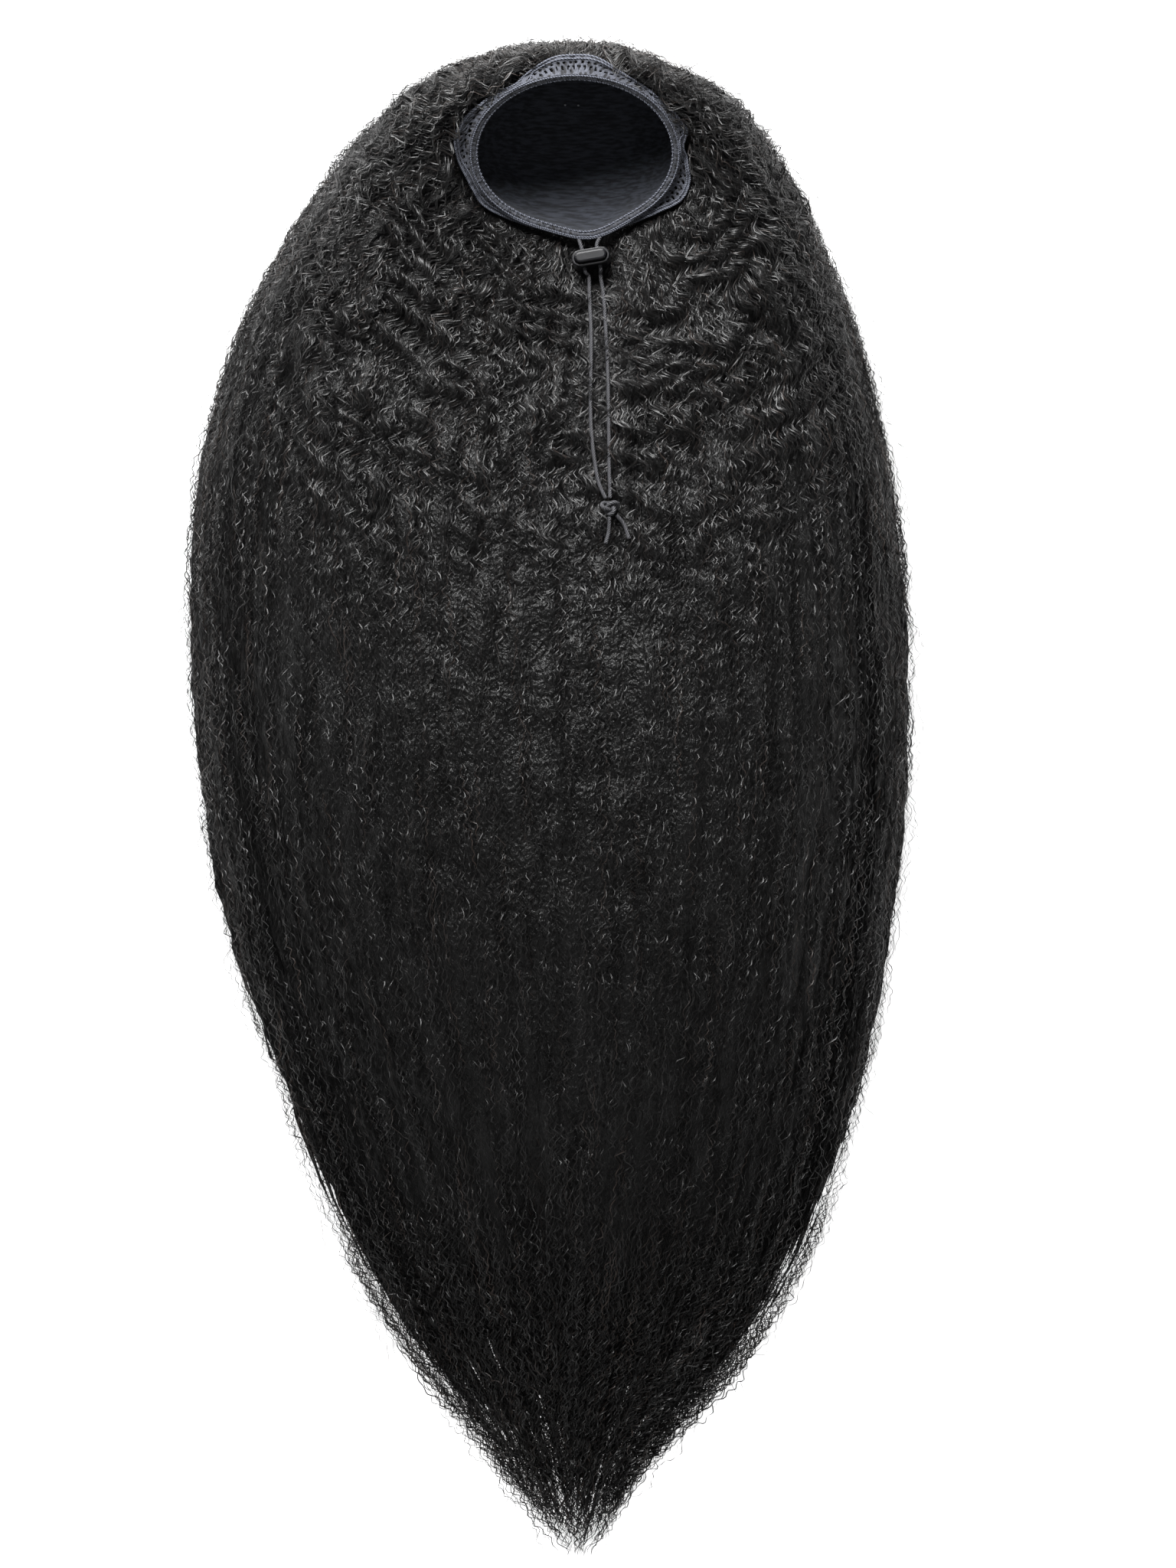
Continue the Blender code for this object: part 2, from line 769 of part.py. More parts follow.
def lace_point(seat, turn, out):
    """A point in the middle of the lace, which lies on the hair and over the cords."""
    if out:
        place = seat.beside_rim(turn, out)
        lift = SEAT_GAP + seat.rise_round(place, 1.2 * math.pi * RIM_RADIUS / LACE_STEPS) + LACE_THICKNESS / 2
        point = place + mound_normal(place.x, place.y) * lift
    else:
        point = lace_seam(turn)
    clear = cord_top(seat, point.y) + 2 * SEAT_GAP + LACE_THICKNESS / 2
    point.z += near_exit(turn) * max(clear - point.z, 0.0)
    return point


def make_lace(collection, seat, finish):
    """The lace band round the casing, with two staggered rows of holes where it is wide enough."""
    shares = (0.0, 0.22, 0.42, 0.58, 0.80, 1.0)
    hole_rows = (1, 3)
    points = {}
    for i in range(LACE_STEPS):
        turn = 2 * math.pi * i / LACE_STEPS
        for j, share in enumerate(shares):
            points[i, j] = lace_point(seat, turn, lace_width(turn) * share)

    def place(i, j):
        return points[i % LACE_STEPS, j]

    bm = sheet(LACE_STEPS, len(shares) - 1, place)
    holes = []
    for j in hole_rows:
        for i in range(LACE_STEPS):
            corners = (place(i, j), place(i + 1, j), place(i + 1, j + 1), place(i, j + 1))
            width = lace_width(2 * math.pi * (i + 0.5) / LACE_STEPS)
            if (i + hole_rows.index(j)) % 2 or width < LACE_HOLE_LEAST:
                continue
            middle = sum(corners, Vector()) / 4
            holes.append(min(bm.faces, key=lambda face: (face.calc_center_median() - middle).length))
    bmesh.ops.remove_doubles(bm, verts=bm.verts, dist=1e-6)
    bmesh.ops.inset_individual(bm, faces=holes, thickness=LACE_HOLE_FRAME)
    bmesh.ops.delete(bm, geom=holes, context="FACES")
    bmesh.ops.recalc_face_normals(bm, faces=bm.faces)
    lace = add_object("lace_band", mesh_of(bm, "lace_band"), collection, finish)
    solidify(lace, LACE_THICKNESS)


def make_edging(collection, seat, finish):
    """The corded edge that follows the lace's scallops."""
    edge = []
    for k in range(LACE_STEPS):
        turn = 2 * math.pi * k / LACE_STEPS
        edge.append(lace_point(seat, turn, lace_width(turn)))
    points = []
    for k, point in enumerate(edge):
        along = edge[(k + 1) % LACE_STEPS] - edge[k - 1]
        normal = mound_normal(point.x, point.y)
        out = along.cross(normal).normalized()
        beside = point + out * (SEAT_GAP + EDGING_DIAMETER / 2)
        points.append(seat.clear(beside, EDGING_DIAMETER / 2))
    cord_object("lace_edging", points, EDGING_DIAMETER, collection, finish, sides=6, cyclic=True)


# Cord lock


def lock_frame(seat):
    """Turns the lock's own axes into the world's: X across both cords, Y back along them, Z out of the hair."""
    out = mound_normal(*LOCK_PLACE)
    across = Vector((math.cos(LOCK_TURN), math.sin(LOCK_TURN), 0))
    across = (across - out * across.dot(out)).normalized()
    back = out.cross(across)
    base = mound(*LOCK_PLACE)
    highest = 0.0
    for i in range(-4, 5):
        for j in range(-3, 4):
            under = base + across * LOCK_WIDTH * i / 8 + back * LOCK_THICKNESS * j / 6
            highest = max(highest, (seat.at(under.x, under.y) - base).dot(out))
    base += out * (highest + SEAT_GAP)
    turned = Matrix((across, back, out)).transposed().to_4x4()
    return Matrix.Translation(base) @ turned


def stadium(width, thickness, bottom, top, rounding=0.0, steps=6):
    """A prism with two round ends, its upper edge rounded."""
    bm = bmesh.new()
    radius = thickness / 2
    ring = []
    for side in (1, -1):
        for k in range(steps + 1):
            angle = -math.pi / 2 + math.pi * k / steps
            x = side * (width / 2 - radius + radius * math.cos(angle))
            ring.append(bm.verts.new((x, side * radius * math.sin(angle), bottom)))
    base = bm.faces.new(ring)
    grown = bmesh.ops.extrude_face_region(bm, geom=[base])["geom"]
    lifted = [item for item in grown if isinstance(item, bmesh.types.BMVert)]
    bmesh.ops.translate(bm, verts=lifted, vec=(0, 0, top - bottom))
    if rounding:
        rim = [edge for edge in bm.edges if all(vert in lifted for vert in edge.verts)]
        bmesh.ops.bevel(bm, geom=rim, offset=rounding, segments=2, profile=0.5, material=-1, affect="EDGES")
    bmesh.ops.recalc_face_normals(bm, faces=bm.faces)
    return bm


def box(width, depth, bottom, top, at_x):
    bm = bmesh.new()
    size = Matrix.Diagonal((width, depth, top - bottom, 1))
    bmesh.ops.create_cube(bm, size=1, matrix=Matrix.Translation((at_x, 0, (top + bottom) / 2)) @ size)
    return bm


def bore(diameter, length, height, at_x):
    bm = bmesh.new()
    lie_down = Matrix.Rotation(math.pi / 2, 4, "X")
    place = Matrix.Translation((at_x, 0, height)) @ lie_down
    bmesh.ops.create_cone(
        bm, cap_ends=True, segments=12, radius1=diameter / 2, radius2=diameter / 2, depth=length, matrix=place
    )
    return bm


def cut(obj, cutter_bm, name, cutters):
    cutter = add_object(name, mesh_of(cutter_bm, name), cutters)
    cutter.matrix_world = obj.matrix_world
    cutter.hide_render = True
    cutter.display_type = "WIRE"
    modifier = obj.modifiers.new(name, "BOOLEAN")
    modifier.operation = "DIFFERENCE"
    modifier.solver = "EXACT"
    modifier.object = cutter


def make_lock(collection, cutters, seat, finish):
    """A shell with a sprung button in it. Both have a hole for each cord, and the button's are longer by its
    travel, so that it stays clear of the cords when it is pressed."""
    frame = lock_frame(seat)
    inside_width = LOCK_WIDTH - 2 * LOCK_SHELL_WALL
    inside_thickness = LOCK_THICKNESS - 2 * LOCK_SHELL_WALL
    shell_bm = stadium(LOCK_WIDTH, LOCK_THICKNESS, 0, LOCK_SHELL_HEIGHT, rounding=LOCK_SHELL_WALL * 0.4)
    shell = add_object("cord_lock_body", mesh_of(shell_bm, "cord_lock_body"), collection, finish)
    shell.matrix_world = frame
    pocket = stadium(inside_width, inside_thickness, LOCK_FLOOR, LOCK_SHELL_HEIGHT + 0.001)
    cut(shell, pocket, "lock_pocket", cutters)
    button_bottom = LOCK_CORD_HEIGHT - LOCK_HOLE / 2 - LOCK_BUTTON_BAR
    button_top = LOCK_SHELL_HEIGHT + LOCK_BUTTON_RISE
    button_bm = stadium(
        inside_width - 2 * RUNNING_GAP,
        inside_thickness - 2 * RUNNING_GAP,
        button_bottom,
        button_top,
        rounding=LOCK_BUTTON_RISE * 0.4,
    )
    button = add_object("cord_lock_button", mesh_of(button_bm, "cord_lock_button"), collection, finish)
    button.matrix_world = frame
    slot_bottom = LOCK_CORD_HEIGHT - LOCK_HOLE / 2
    slot_top = LOCK_CORD_HEIGHT + LOCK_HOLE / 2 + LOCK_TRAVEL
    for side, word in ((-1, "left"), (1, "right")):
        at_x = side * LOCK_CORD_SPACING / 2
        cut(shell, bore(LOCK_HOLE, 2 * LOCK_THICKNESS, LOCK_CORD_HEIGHT, at_x), f"lock_bore_{word}", cutters)
        slot = box(LOCK_HOLE, 2 * LOCK_THICKNESS, slot_bottom, slot_top, at_x)
        cut(button, slot, f"button_slot_{word}", cutters)
    for piece in (shell, button):
        soft_shading(piece)


# Drawstring's free stretches and knot


def route_points(seat, route):
    x, y = LOCK_PLACE
    return [seat.over(x + row["x"], y + row["y"], row["lift"]) for row in rows_of(route, ROUTE_COLUMNS)]


def knot_centre(seat):
    x, y = LOCK_PLACE
    return seat.over(x + KNOT_SIDE, y - KNOT_DISTANCE, KNOT_LIFT)


def knot_contact(centre, towards):
    """Where a cord ends on the knot's surface when it comes from a point, clear by the seat gap."""
    away = (towards - centre).normalized()
    reach = 1 / math.sqrt(
        (away.x / KNOT_WIDTH * 2) ** 2 + (away.y / KNOT_LENGTH * 2) ** 2 + (away.z / KNOT_HEIGHT * 2) ** 2
    )
    return centre + away * (reach + SEAT_GAP)


def in_lock(seat, side, along):
    """A point on a cord's line through the lock, a share of the lock's thickness back from its middle."""
    place = Vector((side * LOCK_CORD_SPACING / 2, along * LOCK_THICKNESS, LOCK_CORD_HEIGHT))
    return lock_frame(seat) @ place


def leg_start(seat, side):
    """A leg's first points, from its hole in the casing to the back of the lock."""
    frame = exit_frame(seat, side)
    first = CORD_DIAMETER / 2 + SEAT_GAP
    return [frame @ Vector((0, 0, first)), frame @ Vector((0, 0, first + CORD_DIAMETER)), in_lock(seat, side, 0.75)]


def leg_points(seat, side, route):
    """One leg of the drawstring, from its hole in the casing through the lock to the knot."""
    points = leg_start(seat, side) + [in_lock(seat, side, along) for along in (0.0, -0.75)]
    points += route_points(seat, route)
    points.append(knot_contact(knot_centre(seat), points[-1]))
    return points


def make_drawstring(collection, seat, finish):
    spacing = 2 * CORD_DIAMETER
    for side, word, route in ((-1, "left", LEFT_ROUTE), (1, "right", RIGHT_ROUTE)):
        points = smooth_route(leg_points(seat, side, route), spacing)
        cord_object(f"drawstring_{word}_leg", points, CORD_DIAMETER, collection, finish)
    for word, route in (("left", LEFT_TAIL), ("right", RIGHT_TAIL)):
        points = route_points(seat, route)
        points = smooth_route([knot_contact(knot_centre(seat), points[0]), *points], spacing)
        cord_object(f"drawstring_{word}_tail", points, CORD_DIAMETER, collection, finish)
    bm = bmesh.new()
    size = Matrix.Diagonal((KNOT_WIDTH, KNOT_LENGTH, KNOT_HEIGHT, 1))
    place = Matrix.Translation(knot_centre(seat)) @ size
    bmesh.ops.create_uvsphere(bm, u_segments=14, v_segments=8, radius=0.5, matrix=place)
    knot = add_object("drawstring_knot", mesh_of(bm, "drawstring_knot"), collection, finish)
    soft_shading(knot, 60)


# Hair


def bank_line(side, end_down):
    """Places down the outline itself, from the middle of the crown to a tip."""
    places = [(OPENING_CENTRE.x, CROWN_Y)]
    fine = 120
    sign = 1 if side == "right" else -1
    for k in range(fine + 1):
        down = end_down * (k / fine) ** 2
        places.append((OPENING_CENTRE.x + sign * half_width(side, down), CROWN_Y - down * HAIR_LENGTH))
    return places


def crown_line():
    """Places from the rim to the middle of the crown, where the hair parts to both sides."""
    edge = hair_edge(math.pi)
    fine = 60
    places = []
    for k in range(fine + 1):
        share = 1 - (1 - k / fine) ** 2
        places.append((edge.x + (OPENING_CENTRE.x - edge.x) * share, edge.y + (CROWN_Y - edge.y) * share))
    return places


def spread_along(places, rows, bunching):
    """Points and their distances along the plain surface over some places, closer together at the start."""
    surface = [mound(x, y) for x, y in places]
    travelled = lengths_along(surface)
    spread = []
    for j in range(rows + 1):
        distance = travelled[-1] * (j / rows) ** bunching
        spread.append((point_at(surface, travelled, distance), distance))
    return spread


def hair_lines(turns):
    """One list of (point, distance from the rim) for each line of hair. The first and last share the way over
    the crown and then run down the outline."""
    lines = []
    for i, turn in enumerate(turns):
        outer = abs(turn) / math.pi
        end_down = 1 - TIP_TAPER * outer - (TIP_STEP / HAIR_LENGTH if i % 2 else 0.0)
        if i in (0, len(turns) - 1):
            over = spread_along(crown_line(), CROWN_ROWS, 1.2)
            side = "right" if i else "left"
            down = spread_along(bank_line(side, end_down), FLOW_ROWS - CROWN_ROWS, 1.3)
            lines.append(over + [(point, over[-1][1] + distance) for point, distance in down[1:]])
        else:
            lines.append(spread_along(flow_line(turn, end_down), FLOW_ROWS, 1.7))
    return lines


def make_hair(collection, finish):
    """The laid hair as one body: locks that fan out of the rim, run to the tips and lie flat on the table, with
    a hollow for the cap."""
    cavity = cap_section(HAIR_CLEAR_OF_CAP)
    cavity_rows = len(cavity)
    pole = cap_pole_depth(HAIR_CLEAR_OF_CAP)
    turns = [ring_turn(i) for i in range(RING_STEPS + 1)]
    lines = hair_lines(turns)

    def place(i, j):
        if j == 0:
            return on_cap(turns[i], 0, pole)
        if j < cavity_rows:
            section = cavity[cavity_rows - j]
            return on_cap(turns[i], section.x, section.y)
        if j == cavity_rows:
            return hair_edge(turns[i])
        row = min(j - cavity_rows, FLOW_ROWS)
        point, distance = lines[i][row]
        on_outline = i in (0, RING_STEPS) and row >= CROWN_ROWS
        if on_outline or j > cavity_rows + FLOW_ROWS:
            return Vector((point.x, point.y, 0))
        if row == FLOW_ROWS:
            return Vector((point.x, point.y, TIP_THICKNESS))
        if i in (0, RING_STEPS):
            return point
        rise = LOCK_RELIEF / 2 * smooth_step((distance - LOCK_RELIEF_STARTS) / LOCK_RELIEF_RAMP)
        relief = -rise if i % 2 else rise
        return point + mound_normal(point.x, point.y) * relief

    bm = sheet(RING_STEPS, cavity_rows + FLOW_ROWS + 1, place)
    close_up(bm)
    return add_object("hair", mesh_of(bm, "hair"), collection, finish)


def main():
    clear_scene()
    part = bpy.data.collections.new("ponytail_hairpiece")
    bpy.context.scene.collection.children.link(part)
    hair = material("hair", HAIR_BLACK, 0.4)
    net = material("net", NET_BLACK, 0.9)
    lace = material("lace", LACE_GREY, 0.8)
    elastic = material("elastic", ELASTIC_GREY, 0.6)
    plastic = material("plastic", LOCK_BLACK, 0.25)
    cutters = bpy.data.collections.new("cutters")
    bpy.context.scene.collection.children.link(cutters)
    make_cap(part, net)
    make_weft_rows(part, hair)
    seat = HairSeat(make_hair(part, hair))
    make_casing(part, cutters, seat, lace)
    make_drawstring_ring(part, elastic)
    make_lace(part, seat, lace)
    make_edging(part, seat, lace)
    make_lock(part, cutters, seat, plastic)
    make_drawstring(part, seat, elastic)


main()
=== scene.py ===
"""Looks of a drawstring ponytail hairpiece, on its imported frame.

Long kinky hair lies on a white table. It is sewn to a small knitted cap whose rim carries a scalloped lace
band and an elastic drawstring with a sprung cord lock. Lengths are in metres, +Z is up and +Y points from the
tips of the hair to its crown.
"""

import math

import bmesh
import bpy
import numpy as np
from mathutils import Matrix, Vector


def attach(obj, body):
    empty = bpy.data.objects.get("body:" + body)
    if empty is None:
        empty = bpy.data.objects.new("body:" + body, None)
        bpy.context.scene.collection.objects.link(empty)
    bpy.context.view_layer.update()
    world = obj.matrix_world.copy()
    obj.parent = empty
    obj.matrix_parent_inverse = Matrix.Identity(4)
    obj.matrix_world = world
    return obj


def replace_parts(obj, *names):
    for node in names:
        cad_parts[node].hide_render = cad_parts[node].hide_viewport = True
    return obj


bl_info = {
    "name": "Drawstring Ponytail",
    "version": (1, 0, 0),
    "blender": (4, 5, 0),
    "location": "3D View > Sidebar > Ponytail",
    "description": "Hair, lace, elastic and cord lock for a drawstring ponytail hairpiece",
    "category": "Object",
}

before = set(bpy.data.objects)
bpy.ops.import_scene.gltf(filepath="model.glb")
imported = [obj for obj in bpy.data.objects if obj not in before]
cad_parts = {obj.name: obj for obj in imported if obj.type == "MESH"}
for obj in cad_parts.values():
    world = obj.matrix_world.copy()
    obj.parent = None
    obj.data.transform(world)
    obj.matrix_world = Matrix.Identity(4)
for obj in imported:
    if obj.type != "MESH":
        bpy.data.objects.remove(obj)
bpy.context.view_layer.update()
BODY = "ponytail"

# The part's own sizes, as its source has them
HAIR_LENGTH, HAIR_WIDTH = 0.632, 0.305
CROWN_Y = HAIR_LENGTH / 2
OPENING_CENTRE = np.array((0.01094, 0.2685, 0.0600))
OPENING_SETBACK = 0.0475
OPENING_TILT = math.radians(28)
RIM_RADIUS = 0.0418
RIM_SQUASH = 0.78469
MOUTH_PULL, MOUTH_PULL_DEPTH = 0.10, 0.55
CAP_TOP_DEPTH, CAP_DEPTH = 0.00215, 0.044
CAP_WALL = 0.075
CASING_RADIUS = 0.0018
HAIR_PUFF = 0.014
HAIR_EDGE_OUT, HAIR_EDGE_DEPTH = 0.0024, 0.0025
LOCK_DENT, LOCK_DENT_RADIUS = 0.0050, 0.0100
LOCK_PLACE = (0.01812, 0.22676)
EXIT_TURN = 0.13921
LACE_WIDTH, LACE_PITCH = 0.0095, 0.0027
CORD_DIAMETER = 0.0016
FLOW_WIDTH = 0.42 * HAIR_WIDTH

# A fine lock's width as a share of a lock's, and how long one roll of each is. Each lock starts its roll a
# golden share after its neighbour, so that no two roll together.
FINE_LOCK_SHARE = 0.36
LOCK_ROLL, FINE_ROLL = 0.019, 0.0080
GOLDEN_SHARE = 0.618

# The table of how high the hair may stand under the drawstring: its ends in X and Y, and its spacing
CEILING_X, CEILING_Y = (-0.010, 0.050), (0.090, 0.250)
CEILING_PITCH = 0.0005

# A wave texture of scale 1 repeats after this share of its unit
WAVE_PERIOD = 0.31

# The paper's reach and the wall far round it
FLOOR_REACH, WALL_RADIUS, WALL_HEIGHT, WALL_SUNK = 6.5, 6.0, 1.2, 0.01

# Lights: name, place, aim, size across and power in watts
LIGHTS = (
    ("window_light", (-0.20, 0.84, 0.62), (0.0, 0.14, 0.0), 0.6, 20),
    ("fill_light", (0.25, -0.45, 1.5), (0.0, 0.25, 0.0), 0.8, 1.2),
)
CAMERA_PLACE, CAMERA_LENS, SENSOR_WIDTH = (0.0163, 0.0117, 1.6), 86.8, 36

# Outline of the laid hair: share of its length below the crown, shares of its width out to the left and right
# of the opening's middle, and how full the pile still is.
OUTLINE_COLUMNS = ("down", "left", "right", "fill")
OUTLINE = (
    (0.000, 0.062, 0.052, 1.00),
    (0.012, 0.165, 0.128, 1.00),
    (0.035, 0.243, 0.212, 1.00),
    (0.070, 0.318, 0.275, 1.00),
    (0.120, 0.395, 0.335, 1.00),
    (0.190, 0.475, 0.395, 1.00),
    (0.280, 0.525, 0.440, 1.00),
    (0.380, 0.536, 0.461, 1.00),
    (0.480, 0.522, 0.462, 0.99),
    (0.580, 0.483, 0.438, 0.94),
    (0.680, 0.414, 0.403, 0.84),
    (0.780, 0.333, 0.341, 0.67),
    (0.860, 0.234, 0.246, 0.47),
    (0.930, 0.118, 0.110, 0.26),
    (1.000, 0.014, 0.014, 0.12),
)

# Half section of the net cap, as shares of its depth and of the rim's radius
CAP_COLUMNS = ("depth", "radius")
CAP_SECTION = (
    (0.00, 1.000),
    (0.14, 1.045),
    (0.34, 1.060),
    (0.55, 0.990),
    (0.74, 0.840),
    (0.89, 0.600),
    (0.97, 0.320),
    (1.00, 0.000),
)

# Scallops of the lace: turn in degrees round the rim from the tips' side, and share of the lace's width
SCALLOP_COLUMNS = ("turn", "width")
LACE_SCALLOPS = (
    (-180, 0.52),
    (-166, 0.48),
    (-152, 0.16),
    (-141, 0.18),
    (-131, 0.56),
    (-121, 0.95),
    (-109, 0.86),
    (-94, 0.54),
    (-78, 0.30),
    (-68, 0.27),
    (-54, 0.34),
    (-36, 0.18),
    (-16, 0.09),
    (8, 0.05),
    (24, 0.10),
    (36, 0.22),
    (50, 0.44),
    (64, 0.74),
    (77, 0.62),
    (90, 0.22),
    (98, 0.16),
    (107, 0.44),
    (116, 0.72),
    (124, 0.52),
    (131, 0.20),
    (139, 0.42),
    (147, 0.56),
    (156, 0.58),
    (168, 0.54),
    (180, 0.52),
)

# Routes of the drawstring's free stretches, as the part's source works them out
LEFT_LEG = (
    (0.01213, 0.23700, 0.04408),
    (0.01260, 0.23552, 0.04445),
    (0.01362, 0.23234, 0.04523),
    (0.01443, 0.22719, 0.04582),
    (0.01525, 0.22204, 0.04642),
    (0.01657, 0.22077, 0.04455),
    (0.01696, 0.21159, 0.04554),
    (0.01753, 0.20019, 0.04720),
    (0.01762, 0.18716, 0.04837),
    (0.01731, 0.17414, 0.04947),
    (0.01740, 0.16263, 0.05027),
    (0.01811, 0.15161, 0.05090),
    (0.01942, 0.14159, 0.05132),
    (0.02103, 0.13410, 0.05182),
    (0.02365, 0.12849, 0.05260),
)
RIGHT_LEG = (
    (0.02178, 0.23803, 0.04457),
    (0.02120, 0.23657, 0.04486),
    (0.01993, 0.23337, 0.04549),
    (0.02074, 0.22822, 0.04609),
    (0.02156, 0.22307, 0.04668),
    (0.02139, 0.22148, 0.04421),
    (0.02270, 0.21256, 0.04495),
    (0.02349, 0.20118, 0.04618),
    (0.02413, 0.18915, 0.04721),
    (0.02456, 0.17614, 0.04828),
    (0.02480, 0.16312, 0.04924),
    (0.02492, 0.15010, 0.05012),
    (0.02503, 0.13909, 0.05073),
    (0.02533, 0.13360, 0.05139),
    (0.02532, 0.12866, 0.05237),
)
LEFT_TAIL = ((0.02509, 0.12114, 0.05269), (0.02476, 0.11506, 0.05202), (0.02356, 0.11005, 0.05228))
RIGHT_TAIL = ((0.02793, 0.12179, 0.05257), (0.03104, 0.11806, 0.05194), (0.03315, 0.11204, 0.05250))
KNOT_CENTRE = (0.02531, 0.12494, 0.05310)
LOCK_BASE_HEIGHT = 0.0414

# Colours and user sizes


def linear(hex_colour):
    """The linear RGBA colour of an sRGB hex value."""
    rgb = [int(hex_colour[k : k + 2], 16) / 255 for k in (1, 3, 5)]
    return (*[c / 12.92 if c <= 0.04045 else ((c + 0.055) / 1.055) ** 2.4 for c in rgb], 1.0)


class PonytailSettings(bpy.types.PropertyGroup):
    """Sizes and colours of the ponytail's finish"""

    strand_width: bpy.props.FloatProperty(
        name="Strand width", description="Width of one ribbon of hair", default=0.00036, unit="LENGTH"
    )
    strand_step: bpy.props.FloatProperty(
        name="Strand step",
        description="Length of one piece of a ribbon of hair",
        default=0.0015,
        unit="LENGTH",
    )
    strand_share: bpy.props.FloatProperty(
        name="Strands",
        description="Share of the full number of hairs",
        default=1.0,
        min=0.05,
        max=1.0,
        subtype="FACTOR",
    )
    crimp_length: bpy.props.FloatProperty(
        name="Crimp length",
        description="Length of one wave of the crimped hair",
        default=0.0065,
        unit="LENGTH",
    )
    lock_width: bpy.props.FloatProperty(
        name="Lock width", description="Width of one lock of hair near the cap", default=0.012, unit="LENGTH"
    )
    hair_colour: bpy.props.FloatVectorProperty(
        name="Hair",
        description="Colour of the hair",
        subtype="COLOR",
        size=4,
        min=0,
        max=1,
        default=linear("#131212"),
    )
    lace_colour: bpy.props.FloatVectorProperty(
        name="Lace",
        description="Colour of the lace's threads",
        subtype="COLOR",
        size=4,
        min=0,
        max=1,
        default=linear("#5a5d67"),
    )
    net_colour: bpy.props.FloatVectorProperty(
        name="Net",
        description="Colour of the cap's knit",
        subtype="COLOR",
        size=4,
        min=0,
        max=1,
        default=linear("#363941"),
    )
    elastic_colour: bpy.props.FloatVectorProperty(
        name="Elastic",
        description="Colour of the drawstring",
        subtype="COLOR",
        size=4,
        min=0,
        max=1,
        default=linear("#525256"),
    )
    plastic_colour: bpy.props.FloatVectorProperty(
        name="Lock plastic",
        description="Colour of the cord lock",
        subtype="COLOR",
        size=4,
        min=0,
        max=1,
        default=linear("#121216"),
    )


def settings():
    return bpy.context.scene.ponytail


# Curves and noise


def smooth_curve(table, columns, key, column):
    """A function that gives the column's value at any value of the key, smoothly through the table's rows."""
    knots = np.array([row[columns.index(key)] for row in table], float)
    values = np.array([row[columns.index(column)] for row in table], float)
    slopes = np.empty_like(values)
    slopes[1:-1] = (values[2:] - values[:-2]) / (knots[2:] - knots[:-2])
    slopes[0] = (values[1] - values[0]) / (knots[1] - knots[0])
    slopes[-1] = (values[-1] - values[-2]) / (knots[-1] - knots[-2])

    def value(at):
        at = np.clip(at, knots[0], knots[-1])
        i = np.clip(np.searchsorted(knots, at, side="right") - 1, 0, len(knots) - 2)
        span = knots[i + 1] - knots[i]
        t = (at - knots[i]) / span
        rise = values[i + 1] - values[i]
        leave, arrive = slopes[i] * span, slopes[i + 1] * span
        return values[i] + t * (leave + t * (3 * rise - 2 * leave - arrive + t * (leave + arrive - 2 * rise)))

    return value


def smooth_step(t):
    t = np.clip(t, 0.0, 1.0)
    return t * t * (3 - 2 * t)


def noise(u, v, seed):
    """Smooth noise from -1 to 1 on a plane, with one hill or dip in each unit square."""
    lattice = np.random.default_rng(seed).uniform(-1, 1, (256, 256))
    i, j = np.floor(u).astype(int), np.floor(v).astype(int)
    s, t = smooth_step(u - i), smooth_step(v - j)
    low = lattice[i % 256, j % 256] * (1 - s) + lattice[(i + 1) % 256, j % 256] * s
    high = lattice[i % 256, (j + 1) % 256] * (1 - s) + lattice[(i + 1) % 256, (j + 1) % 256] * s
    return low * (1 - t) + high * t


SIDE_LEFT = smooth_curve(OUTLINE, OUTLINE_COLUMNS, "down", "left")
SIDE_RIGHT = smooth_curve(OUTLINE, OUTLINE_COLUMNS, "down", "right")
FILL = smooth_curve(OUTLINE, OUTLINE_COLUMNS, "down", "fill")
CAP_RADIUS = smooth_curve(CAP_SECTION, CAP_COLUMNS, "depth", "radius")
SCALLOP = smooth_curve(LACE_SCALLOPS, SCALLOP_COLUMNS, "turn", "width")


def unit(vectors):
    return vectors / np.maximum(np.linalg.norm(vectors, axis=-1, keepdims=True), 1e-12)


# Shape of the laid hair, as in the part's source


def share_down(y):
    return (CROWN_Y - y) / HAIR_LENGTH


def half_width(right, down):
    """How far the hair reaches out from the opening's middle line, on the right or on the left."""
    return HAIR_WIDTH * np.where(right, SIDE_RIGHT(down), SIDE_LEFT(down))


def turned_back(angle):
    """The angle between -pi and pi."""
    return (angle + math.pi) % (2 * math.pi) - math.pi


def mouth_pull(turn):
    off = turned_back(turn - EXIT_TURN)
    return MOUTH_PULL * (np.exp(-((off / 0.30) ** 2)) - 0.35 * np.exp(-((off / 0.80) ** 2)))


def on_cap(turn, radius, depth):
    """Points in the cap's own ellipses: turn round the rim from the tips' side, radius across X and depth
    down the cap's axis from the rim's middle plane."""
    turn, radius, depth = np.broadcast_arrays(turn, radius, depth)
    lean, rise = math.cos(OPENING_TILT), math.sin(OPENING_TILT)
    radius = radius * (1 + mouth_pull(turn) * np.clip(1 - depth / (MOUTH_PULL_DEPTH * CAP_DEPTH), 0, 1))
    up = -radius * RIM_SQUASH * np.cos(turn)
    place = (radius * np.sin(turn), up * lean + depth * rise, up * rise - depth * lean)
    return OPENING_CENTRE + np.stack(place, axis=-1)


def hair_edge(turn):
    """Where the hair begins, just outside the cap's rim."""
    return on_cap(turn, RIM_RADIUS + HAIR_EDGE_OUT, HAIR_EDGE_DEPTH)


